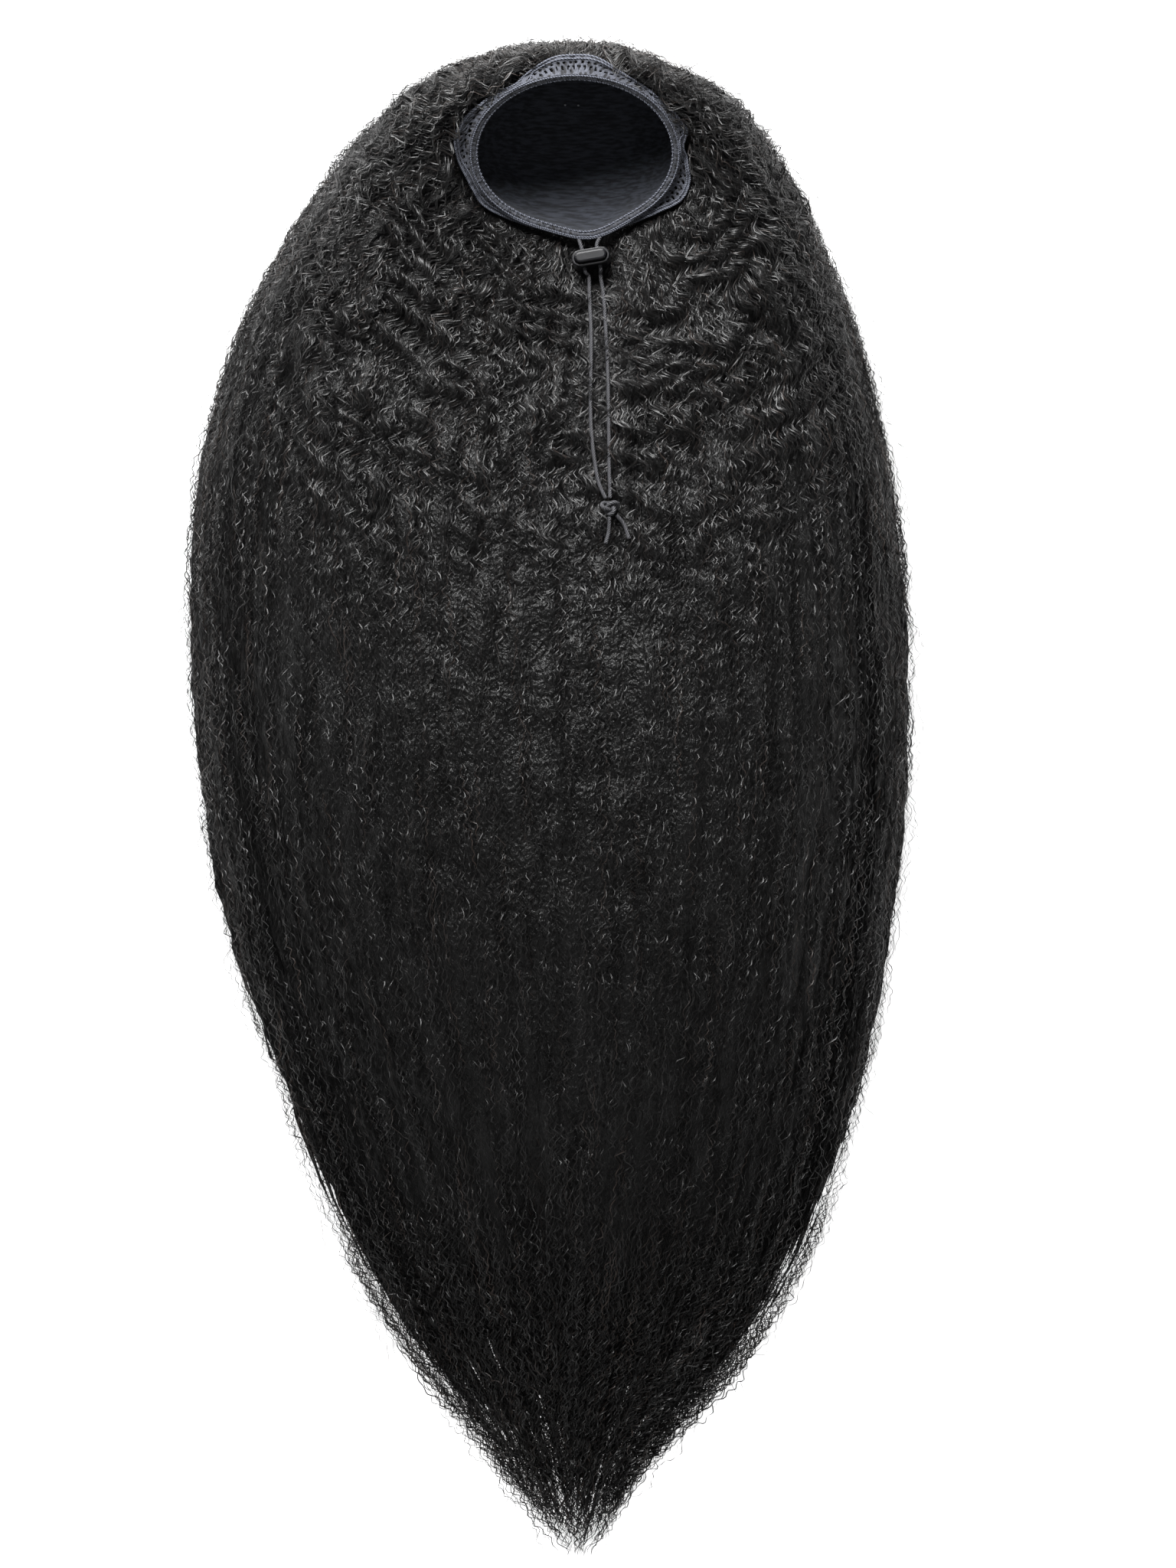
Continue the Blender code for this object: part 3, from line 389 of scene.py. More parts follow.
def outline_distance(bearing):
    """How far the outline is from the opening's centre. Bearing 0 looks at the tips and grows towards +X."""
    ahead, aside = -np.cos(bearing), np.sin(bearing)
    near, far = np.zeros_like(bearing), np.full_like(bearing, HAIR_LENGTH)
    for _ in range(30):
        middle = (near + far) / 2
        down = share_down(OPENING_CENTRE[1] + middle * ahead)
        inside = (down >= 0) & (down <= 1) & (np.abs(aside) * middle <= half_width(aside >= 0, down))
        near, far = np.where(inside, middle, near), np.where(inside, far, middle)
    return near


def edge_towards(bearing):
    """The points of the hair's inner edge on bearings from the opening's centre."""
    reach_x = RIM_RADIUS + HAIR_EDGE_OUT
    reach_y = (hair_edge(math.pi)[1] - hair_edge(0.0)[1]) / 2
    turn = np.arctan2(np.sin(bearing) / reach_x, np.cos(bearing) / reach_y)
    for _ in range(8):
        place = hair_edge(turn) - OPENING_CENTRE
        turn = turn - turned_back(np.arctan2(place[:, 0], -place[:, 1]) - bearing)
    return hair_edge(turn)


BEARINGS = np.linspace(-math.pi, math.pi, 721)
EDGES = edge_towards(BEARINGS)
INNER = np.hypot(EDGES[:, 0] - OPENING_CENTRE[0], EDGES[:, 1] - OPENING_CENTRE[1])
OUTER = outline_distance(BEARINGS)


def mound(x, y):
    """Points on the plain surface of the laid hair, without its locks."""
    aside, ahead = x - OPENING_CENTRE[0], OPENING_CENTRE[1] - y
    bearing = np.arctan2(aside, ahead)
    inner = np.interp(bearing, BEARINGS, INNER)
    edge_height = np.interp(bearing, BEARINGS, EDGES[:, 2])
    outer = np.interp(bearing, BEARINGS, OUTER)
    out = np.clip((np.hypot(aside, ahead) - inner) / (outer - inner), 0, 1)
    shoulder = (1 - out ** (2.2 + 2.2 * (bearing / math.pi) ** 2)) ** 0.5
    puff = HAIR_PUFF * 4 * out * (1 - out) * (1 + np.cos(bearing)) / 2
    from_lock = np.hypot(x - LOCK_PLACE[0], y - LOCK_PLACE[1]) / LOCK_DENT_RADIUS
    height = (edge_height * shoulder + puff) * FILL(share_down(y)) - LOCK_DENT * np.exp(-(from_lock**2))
    return np.stack((x, y, np.maximum(height, 0)), axis=-1)


def mound_normal(x, y):
    step = 0.001
    across = mound(x + step, y) - mound(x - step, y)
    along = mound(x, y + step) - mound(x, y - step)
    return unit(np.cross(across, along))


# Flow of the hair: a stream from a spring in a channel with one closed end, in closed form


SPRING = np.sinh(math.pi / 2 * OPENING_SETBACK / FLOW_WIDTH) ** 2
BANK_SHARE = 0.004
CROWN_CROWDING = 1.6


def into_channel(x, y):
    """Places as points of the straight channel: down it from the crown, and aside as a share of its width."""
    out = half_width(x >= OPENING_CENTRE[0], share_down(y))
    return (CROWN_Y - y) / FLOW_WIDTH + 1j * (x - OPENING_CENTRE[0]) / out


def flow_lines(turns, rows):
    """Places down lines of hair from the rim to their tips, evenly spaced, with each line's length."""
    edge = hair_edge(turns)
    at_edge = np.sinh(math.pi / 2 * into_channel(edge[:, 0], edge[:, 1])) ** 2 - SPRING
    heading = np.angle(at_edge)
    begin, end = np.log(np.abs(at_edge)), math.pi * HAIR_LENGTH / FLOW_WIDTH + 1
    steps = np.linspace(0, 1, 700)
    strength = np.exp(begin[:, None] + (end - begin)[:, None] * steps)
    place = 2 / math.pi * np.arcsinh(np.sqrt(SPRING + strength * np.exp(1j * heading)[:, None]))
    flipped = np.where(np.abs(heading) > 1e-9, np.sign(heading), 1)[:, None]
    aside = np.abs(place.imag) * flipped * (1 - BANK_SHARE * smooth_step(5 * steps))
    y = CROWN_Y - np.abs(place.real) * FLOW_WIDTH
    x = OPENING_CENTRE[0] + aside * half_width(aside >= 0, share_down(y))
    x[:, 0], y[:, 0] = edge[:, 0], edge[:, 1]
    surface = mound(x, y)
    lines, lengths = [], []
    for one, down in zip(surface, share_down(y)):
        kept = one[down <= 1.0]
        run = np.concatenate(([0], np.cumsum(np.linalg.norm(np.diff(kept, axis=0), axis=1))))
        even = np.linspace(0, run[-1], rows)
        lines.append(np.stack([np.interp(even, run, kept[:, k]) for k in range(3)], axis=-1))
        lengths.append(run[-1])
    return np.array(lines), np.array(lengths)


class Flow:
    """The lines of hair over the whole mound, read at any column and distance from the rim."""

    columns, rows = 960, 340

    def __init__(self):
        share = np.linspace(-0.9995, 0.9995, self.columns)
        self.turns = np.sign(share) * math.pi * (1 - (1 - np.abs(share)) ** CROWN_CROWDING)
        self.lines, self.lengths = flow_lines(self.turns, self.rows)
        along = self.lines[:, 1:] - self.lines[:, :-1]
        across = self.lines[1:] - self.lines[:-1]
        area = np.linalg.norm(np.cross(along[:-1], across[:, :-1]), axis=-1)
        self.area = np.minimum(area, np.percentile(area, 99.9))
        middle = self.lines[:, self.rows // 2]
        self.aside = np.concatenate(([0], np.cumsum(np.linalg.norm(np.diff(middle, axis=0), axis=1))))

    def read(self, table, column, distance):
        """Values of a (columns, rows) table at columns and distances."""
        column = np.clip(column, 0, self.columns - 1.001)
        i = column.astype(int)
        part = (column - i)[..., None]
        length = self.lengths[i] * (1 - part[..., 0]) + self.lengths[i + 1] * part[..., 0]
        row = np.clip(distance / length, 0, 1) * (self.rows - 1.001)
        j = row.astype(int)
        rest = (row - j)[..., None]
        near = table[i, j] * (1 - rest) + table[i, j + 1] * rest
        far = table[i + 1, j] * (1 - rest) + table[i + 1, j + 1] * rest
        return near * (1 - part) + far * part

    def between(self, table, column):
        """Values between columns of a table that has one value for each, such as their lengths."""
        return np.interp(column, np.arange(self.columns), table)


FLOW = Flow()


# Meshes, materials and small tools


def grid_sheet(name, columns, rows, points, closed=False, holes=None, caps=False):
    """A sheet of columns by rows faces through points[column, row], with its grid as a UV map. Faces where
    holes[column, row] is true are left out."""
    bm = bmesh.new()
    bm.loops.layers.uv.new("weave")
    bmesh.ops.create_grid(bm, x_segments=columns, y_segments=rows, size=1, calc_uvs=True)
    if holes is not None:
        gone = []
        for face in bm.faces:
            centre = face.calc_center_median()
            if holes[int((centre.x + 1) / 2 * columns), int((centre.y + 1) / 2 * rows)]:
                gone.append(face)
        bmesh.ops.delete(bm, geom=gone, context="FACES")
    data = bpy.data.meshes.new(name)
    bm.to_mesh(data)
    bm.free()
    count = len(data.vertices)
    flat = np.empty(count * 3, np.float32)
    data.vertices.foreach_get("co", flat)
    flat = flat.reshape(count, 3)
    i = np.rint((flat[:, 0] + 1) / 2 * columns).astype(int)
    j = np.rint((flat[:, 1] + 1) / 2 * rows).astype(int)
    data.vertices.foreach_set("co", points[i, j].astype(np.float32).ravel())
    data.update()
    if closed:
        bm = bmesh.new()
        bm.from_mesh(data)
        bmesh.ops.remove_doubles(bm, verts=bm.verts, dist=1e-6)
        if caps:
            bmesh.ops.holes_fill(bm, edges=bm.edges, sides=0)
        bmesh.ops.recalc_face_normals(bm, faces=bm.faces)
        bm.to_mesh(data)
        bm.free()
    return data


def smooth_line(points, count):
    """Evenly spaced points on a smooth curve through the given ones, with its length."""
    points = np.array(points, float)
    knots = np.concatenate(([0], np.cumsum(np.linalg.norm(np.diff(points, axis=0), axis=1))))
    fine = np.linspace(0, knots[-1], 400)
    line = np.empty((400, 3))
    for k in range(3):
        rows = list(zip(knots, points[:, k]))
        line[:, k] = smooth_curve(rows, ("s", "value"), "s", "value")(fine)
    run = np.concatenate(([0], np.cumsum(np.linalg.norm(np.diff(line, axis=0), axis=1))))
    even = np.linspace(0, run[-1], count)
    return np.stack([np.interp(even, run, line[:, k]) for k in range(3)], axis=-1), run[-1]


def tube_data(name, line, radii, sides=8, ring=False):
    """A tube through a line of points, with its length and the way round it as a UV map in metres."""
    line = np.concatenate((line, line[:1])) if ring else line
    radii = np.broadcast_to(radii, len(line) - ring)
    radii = np.concatenate((radii, radii[:1])) if ring else radii
    tangent = np.gradient(line, axis=0)
    if ring:
        tangent[0] = tangent[-1] = line[1] - line[-2]
    tangent = unit(tangent)
    side = np.empty_like(line)
    side[0] = unit(np.cross(tangent[0], (0.13, 0.27, 0.95)))
    for k in range(1, len(line)):
        side[k] = unit(side[k - 1] - tangent[k] * np.dot(tangent[k], side[k - 1]))
    up = np.cross(tangent, side)
    if ring:
        twist = math.atan2(np.dot(side[-1], up[0]), np.dot(side[-1], side[0]))
        back = -twist * np.linspace(0, 1, len(line))[:, None]
        side, up = side * np.cos(back) + up * np.sin(back), up * np.cos(back) - side * np.sin(back)
    angle = np.linspace(0, 2 * math.pi, sides + 1)[None, :, None]
    out = side[:, None] * np.cos(angle) + up[:, None] * np.sin(angle)
    points = line[:, None] + out * radii[:, None, None]
    data = grid_sheet(name, len(line) - 1, sides, points, closed=True, caps=not ring)
    length = np.linalg.norm(np.diff(line, axis=0), axis=1).sum()
    scale_uv(data, length, 2 * math.pi * float(np.mean(radii)))
    return data


def scale_uv(data, along, across):
    """Stretches a piece's UV map to real lengths, so that one unit is a metre."""
    layer = data.uv_layers[0].uv
    flat = np.empty(len(layer) * 2, np.float32)
    layer.foreach_get("vector", flat)
    flat = flat.reshape(-1, 2)
    flat[:, 0] *= along
    flat[:, 1] *= across
    layer.foreach_set("vector", flat.ravel())


def dress(piece, material):
    """Gives a piece this material and no other."""
    piece.data.materials.clear()
    piece.data.materials.append(material)


def add_piece(name, data, material):
    """Adds a piece of the ponytail that has its place in its mesh."""
    piece = bpy.data.objects.new(name, data)
    bpy.context.scene.collection.objects.link(piece)
    dress(piece, material)
    data.shade_smooth()
    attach(piece, BODY)
    return piece


def add_node(tree, kind, values=None, **links):
    """Adds a node, sets its properties, inputs and colour stops, and links the inputs given as sockets."""
    node = tree.nodes.new(kind)
    for key, value in (values or {}).items():
        if key == "stops":
            elements = node.color_ramp.elements
            while len(elements) < len(value):
                elements.new(0.5)
            for element, (at, colour) in zip(elements, value):
                element.position, element.color = at, colour
        elif isinstance(key, str) and hasattr(node, key):
            setattr(node, key, value)
        else:
            node.inputs[key].default_value = value
    for key, socket in links.items():
        index = int(key[1:]) if key[0] == "i" and key[1:].isdigit() else key.replace("_", " ")
        tree.links.new(socket, node.inputs[index])
    return node


def new_material(name):
    made = bpy.data.materials.new(name)
    made.use_nodes = True
    return made, made.node_tree, made.node_tree.nodes["Principled BSDF"]


def shade(colour, factor):
    """The colour, lighter or darker by a factor."""
    return (*[min(c * factor, 1.0) for c in colour[:3]], 1.0)


def strand_material(name, base, thin):
    """Heat-treated synthetic hair: black, with a soft sheen along each strand. Strands differ a little in
    tone, and the lightest have the thin colour, brown where light comes through them."""
    made, tree, shader = new_material(name)
    uv = add_node(tree, "ShaderNodeUVMap", {"uv_map": "weave"}).outputs["UV"]
    strand = add_node(tree, "ShaderNodeSeparateXYZ", None, Vector=uv).outputs["X"]
    pick = add_node(tree, "ShaderNodeTexWhiteNoise", {"noise_dimensions": "1D"}, W=strand)
    stops = ((0.0, shade(base, 0.35)), (0.5, shade(base, 0.9)), (0.9, shade(base, 2.1)), (1.0, thin))
    tone = add_node(tree, "ShaderNodeValToRGB", {"stops": stops}, Fac=pick.outputs["Value"])
    tree.links.new(tone.outputs["Color"], shader.inputs["Base Color"])
    shader.inputs["Roughness"].default_value = 0.44
    shader.inputs["IOR"].default_value = 1.55
    return made


def under_material():
    """The hair under the loose strands: the same black fibre, seen as fine crimped ridges along the flow,
    with painted shade: darker all over and darkest in the ridges' hollows.
    """
    made, tree, shader = new_material("packed_synthetic_hair")
    uv = add_node(tree, "ShaderNodeUVMap", {"uv_map": "weave"}).outputs["UV"]
    # One crimped ridge for each 0.7 mm across and 2.8 mm along, as coarse as it needs to show
    drawn = add_node(tree, "ShaderNodeMapping", {"Scale": (1 / 0.0007, 1 / 0.0028, 1)}, Vector=uv)
    grain = {"Scale": 1.0, "Detail": 3.0}
    ridges = add_node(tree, "ShaderNodeTexNoise", grain, Vector=drawn.outputs["Vector"])
    base = tuple(settings().hair_colour)
    # Painted shade: darker than the hair all over, and darkest where the ridges dip, as if in the gaps under
    # the strands
    stops = ((0.35, shade(base, 0.1)), (0.75, shade(base, 0.6)))
    tone = add_node(tree, "ShaderNodeValToRGB", {"stops": stops}, Fac=ridges.outputs["Fac"])
    tree.links.new(tone.outputs["Color"], shader.inputs["Base Color"])
    relief = {"Strength": 1.0, "Distance": 0.0014}
    bump = add_node(tree, "ShaderNodeBump", relief, Height=ridges.outputs["Fac"])
    tree.links.new(bump.outputs["Normal"], shader.inputs["Normal"])
    shader.inputs["Roughness"].default_value = 0.42
    return made


# Hair


def clumps(aside, distance, width, warp, seed):
    """Where each place lies across its lock, from -0.5 to 0.5, and the lock's own number."""
    across = aside / width + warp * noise(aside / (4 * width), distance / (9 * width), seed)
    number = np.floor(across)
    return across - number - 0.5, number


def lace_width(turn):
    return LACE_WIDTH * SCALLOP(np.degrees(turned_back(turn)))


def under_lace(column, distance):
    """1 where the hair lies under the lace, falling to 0 just outside its edge."""
    turn = FLOW.between(FLOW.turns, column)
    return 1 - smooth_step((distance - lace_width(turn) - 0.0004) / 0.0050)


def lock_form(aside, distance):
    """How the hair gathers into locks: a sideways pull towards each lock's middle, and a height over the
    mound. Each lock rolls in waves of its own, long and high near the cap and low further down."""
    near = 1 - smooth_step((distance - 0.06) / 0.15)
    width = settings().lock_width
    off, number = clumps(aside, distance, width, 0.9, 11)
    fine_off, fine_number = clumps(aside, distance, width * FINE_LOCK_SHARE, 1.1, 12)
    start = smooth_step(distance / 0.010)
    crown, fine_crown = 1 - (2 * off) ** 2, 1 - (2 * fine_off) ** 2
    bend = 1.1 * noise(number * 0.37, distance / 0.025, 14) + 0.7 * noise(aside / 0.016, distance / 0.02, 17)
    phase = 2 * math.pi * (distance / LOCK_ROLL + GOLDEN_SHARE * number + bend)
    long_wave = np.sin(phase)
    short_wave = np.sin(2 * math.pi * (distance / FINE_ROLL + GOLDEN_SHARE * fine_number))
    wander = noise(number * 0.731 + 5, distance / 0.016, 13)
    height = crown * (0.0012 + 0.0024 * near + (0.0008 + 0.0017 * near) * long_wave)
    height += fine_crown * (0.0006 + 0.0004 * near + (0.0004 + 0.0004 * near) * short_wave)
    height += wander * (0.0006 + 0.0012 * near)
    pull = -off * width * (0.20 + 0.28 * near) - fine_off * width * FINE_LOCK_SHARE * 0.5
    pull += crown * np.cos(phase) * (0.0004 + 0.0022 * near)
    return pull * start, height * start


def hair_ceiling():
    """A table of how high the hair may stand where the drawstring, its knot and its lock lie on it."""
    x = np.arange(*CEILING_X, CEILING_PITCH)[:, None]
    y = np.arange(*CEILING_Y, CEILING_PITCH)[None, :]
    ceiling = np.full(np.broadcast(x, y).shape, 1.0)
    for points in (LEFT_LEG, RIGHT_LEG, LEFT_TAIL, RIGHT_TAIL):
        for place in smooth_line(points, 90)[0]:
            gap = np.maximum(np.hypot(x - place[0], y - place[1]) - 0.0011, 0)
            ceiling = np.minimum(ceiling, place[2] - 0.0010 + 0.9 * gap)
    gap = np.maximum(np.hypot(x - KNOT_CENTRE[0], y - KNOT_CENTRE[1]) - 0.0036, 0)
    ceiling = np.minimum(ceiling, KNOT_CENTRE[2] - 0.0020 + 0.9 * gap)
    beside, ahead = np.abs(x - LOCK_PLACE[0]) - 0.0098, np.abs(y - LOCK_PLACE[1]) - 0.0084
    gap = np.hypot(np.maximum(beside, 0), np.maximum(ahead, 0))
    return np.minimum(ceiling, LOCK_BASE_HEIGHT - 0.0012 + 1.1 * gap)


def under_ceiling(place, rise):
    """The rise of the hair over each place on the mound, held down under what lies on it."""
    i = np.rint((place[..., 0] - CEILING_X[0]) / CEILING_PITCH).astype(int)
    j = np.rint((place[..., 1] - CEILING_Y[0]) / CEILING_PITCH).astype(int)
    inside = (i >= 0) & (i < CEILING.shape[0]) & (j >= 0) & (j < CEILING.shape[1])
    most = np.where(inside, CEILING[i * inside, j * inside] - place[..., 2], 1.0)
    return np.minimum(rise, most)


CEILING = hair_ceiling()


def surface_frame(column, distance):
    """Points on the mound with the hair's sideways direction and the outward normal."""
    step = 0.0015
    place = FLOW.read(FLOW.lines, column, distance)
    ahead = FLOW.read(FLOW.lines, column, distance + step) - FLOW.read(FLOW.lines, column, distance - step)
    along = unit(ahead)
    normal = mound_normal(place[..., 0], place[..., 1])
    aside = unit(np.cross(along, normal))
    return place, aside, np.cross(aside, along)


def make_under_hair(material):
    """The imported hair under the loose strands, a little inside the part's own mound. It ends raggedly where
    the tips let the table show."""
    columns, rows = 400, 104
    share = np.linspace(0, 1, columns + 1)[:, None]
    down = np.linspace(0, 1, rows + 1)[None, :] ** 1.2
    column = share * (FLOW.columns - 1.01) + 0 * down
    length = FLOW.between(FLOW.lengths, column)
    edge = np.abs(share - 0.5) * 2
    distance = length * down * (0.97 - 0.10 * edge**2 + 0.02 * noise(share * 90, 0 * share, 15))
    place, _, normal = surface_frame(column, distance)
    where = FLOW.between(FLOW.aside, column)
    _, height = lock_form(where, distance)
    fade = smooth_step((length * 0.93 - distance) / 0.16)
    depth = 0.0022 + 0.0025 * (1 - fade)
    height = height * fade * (1 - under_lace(column, distance)) * crown_calm(place)
    points = place + normal * under_ceiling(place, height - depth)[..., None]
    points[..., 2] = np.maximum(points[..., 2], 0.0008)
    data = grid_sheet("hair_under", columns, rows, points, holes=tip_gaps(edge, distance / length))
    scale_uv(data, FLOW.aside[-1], HAIR_LENGTH)
    return add_piece("packed_hair", data, material)


def tip_gaps(edge, reach):
    """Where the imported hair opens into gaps: more of it towards the tips, and sooner at the sides."""
    edge = edge + 0 * reach
    column, row = np.indices(reach.shape)
    streaks = 0.5 * noise(column / 1.1, row / 7, 61) + 0.5 * noise(column / 3.3, row / 5, 62)
    opening = (reach - 0.86 + 0.32 * edge**6) / 0.15 + 0.25 * noise(column / 14, row / 9, 63)
    return (streaks + 0.62 < 1.15 * opening)[:-1, :-1]


def make_underside(material):
    """The flat side of the hair that lies on the table."""
    columns, rows = 24, 60
    across = np.linspace(1, -1, columns + 1)[:, None]
    down = np.linspace(0.004, 0.76, rows + 1)[None, :] + 0.012 * noise(across * 30, across * 0, 16)
    down = np.clip(down, 0.004, 0.83)
    # Narrower towards the tips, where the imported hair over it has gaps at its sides
    reach = 0.97 - 0.45 * smooth_step((down - 0.42) / 0.34)
    x = OPENING_CENTRE[0] + across * half_width(across >= 0, down) * reach
    points = np.stack((x, CROWN_Y - down * HAIR_LENGTH, 0 * x + 0.0005), axis=-1)
    data = grid_sheet("underside", columns, rows, points)
    scale_uv(data, HAIR_WIDTH, HAIR_LENGTH)
    return add_piece("hair_underside", data, material)


def crown_calm(place):
    """How much of its height the hair keeps: little at the crown, where it turns down to the table."""
    return 1 - 0.60 * smooth_step((0.060 - share_down(place[..., 1])) / 0.06)


def ribbons(name, centre, across, width, material):
    """Thin ribbons of hair, one for each row of centre[strand, step]. Their UV map holds the strand's number
    and the share along it."""
    strands, steps = centre.shape[:2]
    bm = bmesh.new()
    bm.loops.layers.uv.new("weave")
    bmesh.ops.create_grid(bm, x_segments=2 * strands - 1, y_segments=steps - 1, size=1, calc_uvs=True)
    bm.faces.ensure_lookup_table()
    numbers = [round((face.calc_center_median().x + 1) * (strands - 0.5) - 0.5) for face in bm.faces]
    between = [face for face, number in zip(bm.faces, numbers) if number % 2]
    bmesh.ops.delete(bm, geom=between, context="FACES_ONLY")
    data = bpy.data.meshes.new(name)
    bm.to_mesh(data)
    bm.free()
    flat = np.empty(len(data.vertices) * 3, np.float32)
    data.vertices.foreach_get("co", flat)
    flat = flat.reshape(-1, 3)
    i = np.rint((flat[:, 0] + 1) * (strands - 0.5)).astype(int)
    j = np.rint((flat[:, 1] + 1) / 2 * (steps - 1)).astype(int)
    sides = np.stack((centre - across * width[..., None] / 2, centre + across * width[..., None] / 2), axis=1)
    data.vertices.foreach_set("co", sides[i // 2, i % 2, j].astype(np.float32).ravel())
    layer = data.uv_layers[0].uv
    flat = np.empty(len(layer) * 2, np.float32)
    layer.foreach_get("vector", flat)
    flat = flat.reshape(-1, 2)
    flat[:, 0] = (np.rint(flat[:, 0] * (2 * strands - 1)) // 2 + 0.5) / strands
    layer.foreach_set("vector", flat.ravel())
    data.update()
    return add_piece(name, data, material)


def scatter(strands, weight, rng):
    """Random columns and distances, spread evenly over the mound's surface times a weight."""
    chance = (FLOW.area * weight).ravel()
    picked = rng.choice(chance.size, strands, p=chance / chance.sum())
    i, j = np.divmod(picked, FLOW.rows - 1)
    column = i + rng.random(strands)
    distance = (j + rng.random(strands)) / (FLOW.rows - 1) * FLOW.lengths[i]
    return column, distance


def make_coat(name, strands, steps, weight, seed, material, frizz=1.0, lift=0.0022, flyaway=0.0):
    """One coat of loose strands. Each follows the flow for a stretch, waves with its lock and dives under the
    others at its ends."""
    rng = np.random.default_rng(seed)
    prefs = settings()
    strands = max(int(strands * prefs.strand_share), 2)
    column, middle = scatter(strands, weight, rng)
    step = prefs.strand_step * rng.uniform(0.85, 1.1, strands)
    run = (np.arange(steps) - (steps - 1) / 2)[None, :] * step[:, None]
    distance = middle[:, None] + run
    tip = FLOW.between(FLOW.lengths, column)[:, None]
    limit = tip - rng.exponential(0.016, (strands, 1))
    distance = np.maximum(distance - np.maximum(distance[:, -1:] - limit, 0), 0.0005)
    column = column[:, None] + 0 * distance
    place, aside, normal = surface_frame(column, distance)
    where = FLOW.between(FLOW.aside, column)
    pull, height = lock_form(where, distance)
    near = 1 - smooth_step((distance - 0.08) / 0.16)
    share = np.linspace(-1, 1, steps)[None, :]
    ends = 1 - np.abs(share) ** 6
    phase = rng.uniform(0, 2 * math.pi, (strands, 1))
    crimp = prefs.crimp_length * (0.74 + 0.51 * near)
    wave = 2 * math.pi * np.cumsum(step[:, None] / crimp, axis=1)
    shared = 9.0 * noise(where / 0.0070, distance / 0.020, 21) + 2 * math.pi * distance / prefs.crimp_length
    together = rng.random((strands, 1)) < 0.45 + 0.4 * near
    swing = np.where(together, shared + 0.35 * phase, wave + phase)
    size = (0.00080 + 0.00032 * near) * (1 + 0.6 * noise(where / 0.006, distance / 0.02, 22))
    loose = rng.normal(0, 1, (strands, 1)) * 0.0005 * frizz
    drift = noise(phase * 40 + share * 2.2, phase * 17, 23) * 0.0013 * frizz
    side = pull + size * np.sin(swing) + loose + drift
    layer = rng.random((strands, 1)) ** 1.6 * lift
    rise = (height + layer) * crown_calm(place) - 0.0014 + 0.8 * size * np.cos(swing) - (1 - ends) * 0.0025
    rise = under_ceiling(place, rise)
    cover = under_lace(column, distance)
    rise = rise * (1 - cover) - 0.0010 * cover
    if flyaway:
        side += flyaway * rng.normal(0, 1, (strands, 1)) * (0.3 + share**2)
        rise += np.abs(rng.normal(0, 1, (strands, 1))) * flyaway * 0.5 * (1 + share)
    centre = place + aside * side[..., None] + normal * rise[..., None]
    centre[..., 2] = np.maximum(centre[..., 2], 0.0009 + 0.0008 * rng.random((strands, 1)))
    tangent = unit(np.gradient(centre, axis=1))
    roll = rng.normal(0, 1, (strands, 1)) * (0.85 - 0.40 * near) + 0.4 * np.sin(swing)
    flat = unit(np.cross(tangent, normal))
    lifted = np.cross(flat, tangent)
    across = flat * np.cos(roll)[..., None] + lifted * np.sin(roll)[..., None]
    taper = 0.25 + 0.75 * (1 - np.abs(share) ** 4)
    width = prefs.strand_width * rng.uniform(0.6, 1.25, (strands, 1)) * taper
    tips = smooth_step((share_down(place[..., 1]) - 0.75) / 0.2)
    width = width * (0.6 if flyaway else 1.0) * (1 + 0.25 * tips)
    return ribbons(name, centre, across, width, material)


def flow_weights():
    """For each cell of the flow: its place and its share of the way from the middle line to the outline."""
    place = FLOW.lines[:-1, :-1]
    x, y = place[..., 0], place[..., 1]
    right = x >= OPENING_CENTRE[0]
    out = np.abs(x - OPENING_CENTRE[0]) / np.maximum(half_width(right, share_down(y)), 1e-4)
    return x, y, out


class PONYTAIL_OT_hair(bpy.types.Operator):
    """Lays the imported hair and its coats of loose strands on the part's mound"""

    bl_idname = "ponytail.hair"
    bl_label = "Lay Hair"

    def execute(self, context):
        black = tuple(settings().hair_colour)
        strand = strand_material("kinky_synthetic_hair", black, linear("#3a302b"))
        # The stray hairs are browner all over: painted light shining through thin hair
        stray = strand_material("stray_synthetic_hair", linear("#241e1b"), linear("#4a3e38"))
        packed = under_material()
        under = make_under_hair(packed)
        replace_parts(under, "hair")
        make_underside(packed)
        x, y, out = flow_weights()
        down = share_down(y)
        ring = np.hypot(x - OPENING_CENTRE[0], y - OPENING_CENTRE[1])
        upper = smooth_step((0.36 - down) / 0.05)
        lower = 1 - upper
        left = x < OPENING_CENTRE[0]
        make_coat("hair_round_cap", 2500, 27, upper * np.exp(-((ring / 0.085) ** 2)), 1, strand)
        make_coat("hair_upper_left", 2200, 28, upper * left, 2, strand)
        make_coat("hair_upper_right", 2130, 28, upper * ~left, 3, strand)
        make_coat("hair_lower_left", 2150, 27, lower * left, 4, strand, frizz=1.9)
        make_coat("hair_lower_right", 2150, 27, lower * ~left, 5, strand, frizz=1.9)
        make_coat("hair_tips", 1900, 35, smooth_step((down - 0.74) / 0.2), 6, strand, frizz=3.4)
        edges = smooth_step((out - 0.88) / 0.12) + 1.5 * smooth_step((0.05 - down) / 0.04)
        make_coat("hair_flyaways", 1300, 21, edges, 7, stray, 2.0, 0.003, 0.0042)
        return {"FINISHED"}


# Rim: knitted cap, rolled casing and lace


